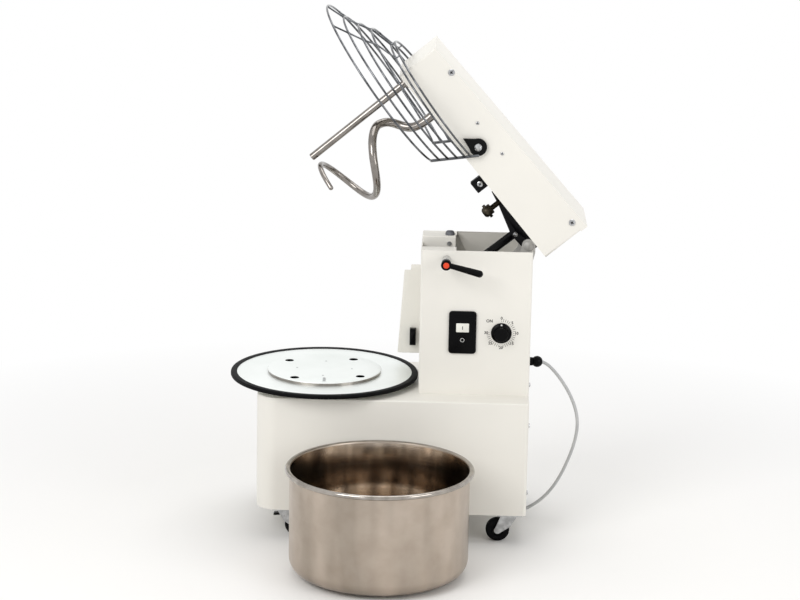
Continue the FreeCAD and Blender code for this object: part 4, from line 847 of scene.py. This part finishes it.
class GuardWire:
    """A level wire: one arc across the front and, on each side, one arc back to the arm."""
    LOW, HIGH = Vector((-33, -105, -93.1)), Vector((13.5, -105, -9.3))
    FRONT = -212.5      # the head's front, from the pivot
    JOINT = 60.0        # degrees from the front at which the side arcs begin

    def __init__(self, part, back, out):
        self.end = self.LOW.lerp(self.HIGH, part)
        self.radius = HEAD_SIDE + out
        self.middle = Vector((back + self.FRONT, 0, self.end.z))

    def point(self, degrees):
        turn = math.radians(degrees)
        return self.middle + Vector((-math.cos(turn), math.sin(turn), 0)) * self.radius

    def points(self, steps=20):
        """The way along the wire, from the far arm to the near one."""
        joint = self.point(-self.JOINT)
        inward = (self.middle - joint) / self.radius
        chord = self.end - joint
        centre = joint + inward * (chord.length_squared / (2 * chord.dot(inward)))
        first, last = [math.atan2(p.y - centre.y, p.x - centre.x) for p in (joint, self.end)]
        sweep = (last - first) % math.tau
        reach = (joint - centre).length
        side = [centre + Vector((math.cos(first + sweep * i / steps),
                                 math.sin(first + sweep * i / steps), 0)) * reach
                for i in range(1, steps + 1)]
        front = [self.point(self.JOINT - 2 * self.JOINT * i / steps) for i in range(steps + 1)]
        return [Vector((p.x, -p.y, p.z)) for p in reversed(side)] + front + side


class MixerGuard(bpy.types.Operator):
    """Chromed wire guard, its black brackets and pivots"""
    bl_idname = "mixer.guard"
    bl_label = "Guard"

    def execute(self, context):
        radius = context.scene.mixer_sizes.wire / 2
        rib_radius, weld_radius, arm_radius = 1.8, 2.6, 3.0
        wires = [GuardWire(*row) for row in GUARD_WIRES]
        shapes = [swept(wire.points(), radius, order=2, sides=3) for wire in wires]
        for degrees in (-30, 0, 30):
            points = [wire.point(degrees) for wire in wires]
            for a, b in zip(points, points[1:]):
                weld = (b - a).normalized() * 1.2
                shapes += [bar(a, b, rib_radius, 10), ball(a + weld, weld_radius, 10),
                           ball(b - weld, weld_radius, 10)]
        for side in (-1, 1):
            low, high = [Vector((p.x, -p.y * side, p.z)) for p in (GuardWire.LOW, GuardWire.HIGH)]
            shapes += [bar(low, high, arm_radius), ball(low, arm_radius), ball(high, arm_radius)]
        place("guard_wires", join(shapes), GUARD_PIVOT, "wire", "guard",
              ["guard_cage"], 50)
        for side in ("near", "far"):
            smoothed("guard_bracket_" + side, "guard_plate_" + side, "black_steel")
        smoothed("guard_pivots", "guard_pivot_screws", "zinc")
        return {"FINISHED"}


# ------------------------------------------------------------------ controls

def text(words, size, matrix):
    """Flat printed characters, centred on their place."""
    curve = bpy.data.curves.new("text", "FONT")
    curve.body = words
    curve.size = size
    curve.align_x = "CENTER"
    curve.align_y = "CENTER"
    curve.resolution_u = 3
    curve.offset = 0.2
    curve.extrude = 0.05
    return moved(from_curve(curve), matrix)


class MixerControls(bpy.types.Operator):
    """Switch plate with its two buttons, timer knob with its scale, and clamp lever"""
    bl_idname = "mixer.controls"
    bl_label = "Controls"

    def execute(self, context):
        height = 438        # of the switch and the timer
        panel = FLOOR @ to(290.3, COLUMN_NEAR, height)
        plate = slab(57, 90, 5, 7, 1.6)
        raised = moved(slab(41, 68, 1.2, 4, 0.5), to(0, -5, 0))
        place("switch_plate_front", join([plate, raised]), panel, "plastic", "root",
              ["switch_plate"])
        start = moved(slab(26.6, 18.6, 10, 1.5, 1.0), to(0, 1, 11))
        place("start_button_key", start, panel, "white", "start_button",
              ["start_button"])
        mark = block((-0.7, -9.12, 7.6), (0.7, -9.0, 14.4))
        place("start_mark", mark, panel, "ink", "start_button")
        lower = to(0, 0, -15) @ FRONTWARD
        stop = lathe([(0, -1), (8.8, -1), (8.8, 7.6), (8.0, 8.4), (6.4, 8.0), (0, 7.6)], 48)
        place("stop_button_key", moved(stop, lower), panel, "plastic", "stop_button",
              ["stop_button"])
        ring = lathe([(3.5, 8.0), (3.5, 8.2), (4.2, 8.2), (4.2, 8.0)], 32)
        place("stop_mark", moved(ring, lower), panel, "white_ink", "stop_button")

        dial = FLOOR @ to(370.6, COLUMN_NEAR, height)
        flutes = 40
        profile = [(0, 0.3), (21.4, 0.3), (21.4, 2.6), (20.2, 3.8), (15.6, 5.4), (14.8, 6.4),
                   (14.1, 18.6), (13.2, 19.8), (0, 19.8)]
        knob = lathe(profile, flutes * 2)
        for vert in knob.verts:
            out = Vector((vert.co.x, vert.co.y))
            turn = math.atan2(out.y, out.x)
            if 6 < vert.co.z < 19 and out.length > 12:
                vert.co.xy = out * (1 + 0.022 * math.cos(turn * flutes))
        place("timer_knob_grip", moved(knob, FRONTWARD), dial, "plastic", "timer_knob",
              ["timer_knob"], 30)
        dot = lathe([(0, 3.6), (1.9, 3.6), (1.9, 5.3), (0, 5.3)], 20)
        place("timer_knob_dot", moved(dot, to(0, 0, 17.8) @ FRONTWARD), dial,
              "white_ink", "timer_knob")
        marks = []
        minutes = context.scene.mixer_sizes.ticks
        face = to(0, -0.06, 0) @ FRONTWARD
        tick_start, tick_end, short_end, numbers = 24.4, 30.5, 26.6, 31.4
        for minute in range(minutes + 1):
            turn = math.radians(90 - 270 * minute / minutes)
            tick = block((tick_start, -0.36, -0.05),
                         (tick_end if minute % 5 else short_end, 0.36, 0.05))
            marks.append(moved(tick, face @ Matrix.Rotation(turn, 4, "Z")))
            if minute % 5 == 0:
                where = to(numbers * math.cos(turn), numbers * math.sin(turn), 0)
                marks.append(text(str(minute), 8.2, face @ where))
        marks.append(text("ON", 8.6, face @ to(-25, 25, 0)))
        place("timer_scale", join(marks), dial, "ink", "root")
        finish_node("switch_case", "plastic")
        self.lever()
        return {"FINISHED"}

    def lever(self):
        """Hub, handle and cap of the clamp lever."""
        axis = FLOOR @ to(254, COLUMN_NEAR, 591.4) @ FRONTWARD
        front = 58.3        # the hub's front, from the column
        grip = 7.4          # the handle's radius at its end
        hub = lathe([(0, front - 19.9), (9.9, front - 19.9), (10.3, front - 16),
                     (10.8, front - 1.7), (10.2, front - 0.5), (8.4, front), (6.4, front),
                     (6.4, front - 0.7), (0, front - 0.7)], 48)
        fall = math.radians(-13.5)
        reach = Vector((math.cos(fall), math.sin(fall), 0.08))
        start = Vector((0, 0, front - 8.1))
        points = [start + reach * step for step in (0, 10, 22, 36, 50, 62, 68, 70)]
        arm = swept(points, grip, [6.0, 5.7, 6.0, 6.4, 6.9, 7.3, grip, grip], order=3,
                    resolution=4, sides=6)
        handle = join([hub, arm, ball(points[-1], grip, 24)])
        place("clamp_lever_grip", handle, axis, "plastic", "lever", ["clamp_lever"], 50)
        cap = lathe([(0, front - 0.6), (6.1, front - 0.6), (6.1, front + 1), (5.5, front + 1.7),
                     (0, front + 1.9)], 36)
        place("clamp_lever_cap", cap, axis, "cap", "lever", ["lever_cap"])
        smoothed("lever_hub_and_cam", "clamp_lever_shaft", "chrome")


# ------------------------------------------------------------------ linkage

class MixerLinkage(bpy.types.Operator):
    """Hinge, gas spring, catch block and adjusting knob between column and head"""
    bl_idname = "mixer.linkage"
    bl_label = "Linkage"

    def execute(self, context):
        for node, finish, slot in (("hinge_pin", "paint_grey", "zinc"),
                                   ("spring_stud", "zinc", "zinc"),
                                   ("head_arms", "black_steel", "black_steel"),
                                   ("spring_bolt", "chrome", "zinc"),
                                   ("catch_block", "black_steel", "black_steel"),
                                   ("adjuster_knob", "bronze", "bronze"),
                                   ("gas_spring_tube", "black_steel", "black_steel"),
                                   ("gas_spring_rod", "chrome", "zinc")):
            smoothed(node, node + "_part", finish)
        return {"FINISHED"}


# ------------------------------------------------------------------ castors

class MixerCastors(bpy.types.Operator):
    """Four swivel castors, two with a brake pedal"""
    bl_idname = "mixer.castors"
    bl_label = "Castors"

    def execute(self, context):
        smoothed("castor_plates", "castor_top_plates", "zinc")
        for end in ("front", "rear"):
            for side in ("near", "far"):
                name = "%s_%s" % (end, side)
                smoothed("castor_fork_" + name, "castor_body_" + name, "zinc")
                low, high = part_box("castor_wheel_" + name)
                middle = (low + high) / 2
                tyre = lathe([(12.5, -6.5), (13.2, -7.6), (20.5, -8.6), (23.4, -7.6), (24.7, -5),
                              (24.9, -1.6), (24.9, 1.6), (24.7, 5), (23.4, 7.6), (20.5, 8.6),
                              (13.2, 7.6), (12.5, 6.5)], 72)
                hub = lathe([(4.1, -7.9), (7.4, -7.9), (8.0, -5.2), (12.6, -5.2), (12.6, 5.2),
                             (8.0, 5.2), (7.4, 7.9), (4.1, 7.9)], 48)
                turn = to(*middle) @ FRONTWARD @ MILLIMETRES
                body = "wheel_" + name
                place("wheel_tyre_" + name, tyre, turn, "rubber", body,
                      ["castor_wheel_" + name])
                place("wheel_hub_" + name, hub, turn, "plastic", body)
        for side in ("near", "far"):
            smoothed("brake_pedal_" + side, "brake_lever_" + side, "plastic")
        return {"FINISHED"}


# ------------------------------------------------------------------ fasteners

def screw(centre, toward, radius, height=2.4):
    """A pan head with a cross in its face, at a place and in a direction: the head, and a black
    cross that is the painted shade of its recess.
    """
    seat = Matrix.Translation(centre) @ Vector(toward).to_track_quat("Z", "Y").to_matrix().to_4x4()
    head = lathe([(0, 0), (radius, 0), (radius, height * 0.4), (radius * 0.9, height * 0.75),
                  (radius * 0.6, height * 0.96), (0, height)], 32)
    reach, half = radius * 0.5, radius * 0.13
    # the recess isn't cut: a black cross just proud of the head paints its shade
    cross = join([block((-reach, -half, height * 0.8), (reach, half, height * 1.01)),
                  block((-half, -reach, height * 0.8), (half, reach, height * 1.01))])
    cross.transform(turned(20, "Z"))
    return moved(head, seat), moved(cross, seat)


class MixerFasteners(bpy.types.Operator):
    """Screw heads on the head, the column and the base"""
    bl_idname = "mixer.fasteners"
    bl_label = "Fasteners"

    def execute(self, context):
        # how far back and how high each screw is, and its radius or its side
        on_head = [screw((back, side * HEAD_SIDE, up), (0, side, 0), radius) for side in (-1, 1)
                   for back, up, radius in ((-385.6, 104, 7), (10, 104, 7), (-271.9, 80.9, 3.5),
                                            (-191.4, 80.9, 3.5))]
        on_head.append(screw((-164.5, -54, 2), (0, -1, 0), 6.5, 4.9))
        at_rear = [screw((COLUMN_REAR, side * out, up), (1, 0, 0), 4.8, 3) for side in (-1, 1)
                   for out, up in ((84.2, 325), (145.7, 255), (145.7, 110))]
        for name, made, matrix, body, node in (
                ("head_screw", on_head, HEAD, "head", "head_screws"),
                ("rear_screw", at_rear, FLOOR, "root", "rear_screws")):
            heads, cross_shades = (join(shapes) for shapes in zip(*made))
            place(name + "_heads", heads, matrix, "chrome", body, [node])
            # the black cross pieces are painted shade in the screws' recesses
            place(name + "_cross_shades", cross_shades, matrix, "black_steel", body)
        rest = FLOOR @ to(258.6, -19, 608.2) @ FRONTWARD
        cap = lathe([(0, 0), (4.8, 0), (4.8, 2.4), (4.4, 2.9), (2.6, 2.9), (2.6, 1.2),
                     (0, 1.2)], 32)
        place("rest_screw_head", cap, rest, "zinc", "root")
        return {"FINISHED"}


class MixerPanel(bpy.types.Panel):
    """Lists the mixer's pieces and their settings"""
    bl_idname = "VIEW3D_PT_mixer"
    bl_label = "Spiral dough mixer"
    bl_space_type = "VIEW_3D"
    bl_region_type = "UI"
    bl_category = "Mixer"

    def draw(self, context):
        for group in (context.scene.mixer_finish, context.scene.mixer_sizes):
            for name in group.__annotations__:
                self.layout.prop(group, name)
        for step in STEPS:
            self.layout.operator(step.bl_idname)


STEPS = (MixerStage, MixerLead, MixerHousing, MixerTurntable, MixerBowl, MixerTools, MixerGuard,
         MixerControls, MixerLinkage, MixerCastors, MixerFasteners)
CLASSES = (MixerFinish, MixerSizes) + STEPS + (MixerPanel,)


def register():
    for item in CLASSES:
        bpy.utils.register_class(item)
    bpy.types.Scene.mixer_finish = PointerProperty(type=MixerFinish)
    bpy.types.Scene.mixer_sizes = PointerProperty(type=MixerSizes)


def unregister():
    del bpy.types.Scene.mixer_sizes
    del bpy.types.Scene.mixer_finish
    for item in reversed(CLASSES):
        bpy.utils.unregister_class(item)


def main():
    register()
    make_finishes(bpy.context.scene.mixer_finish)
    for step in STEPS:
        group, name = step.bl_idname.split(".")
        getattr(getattr(bpy.ops, group), name)()


if __name__ == "__main__":
    main()
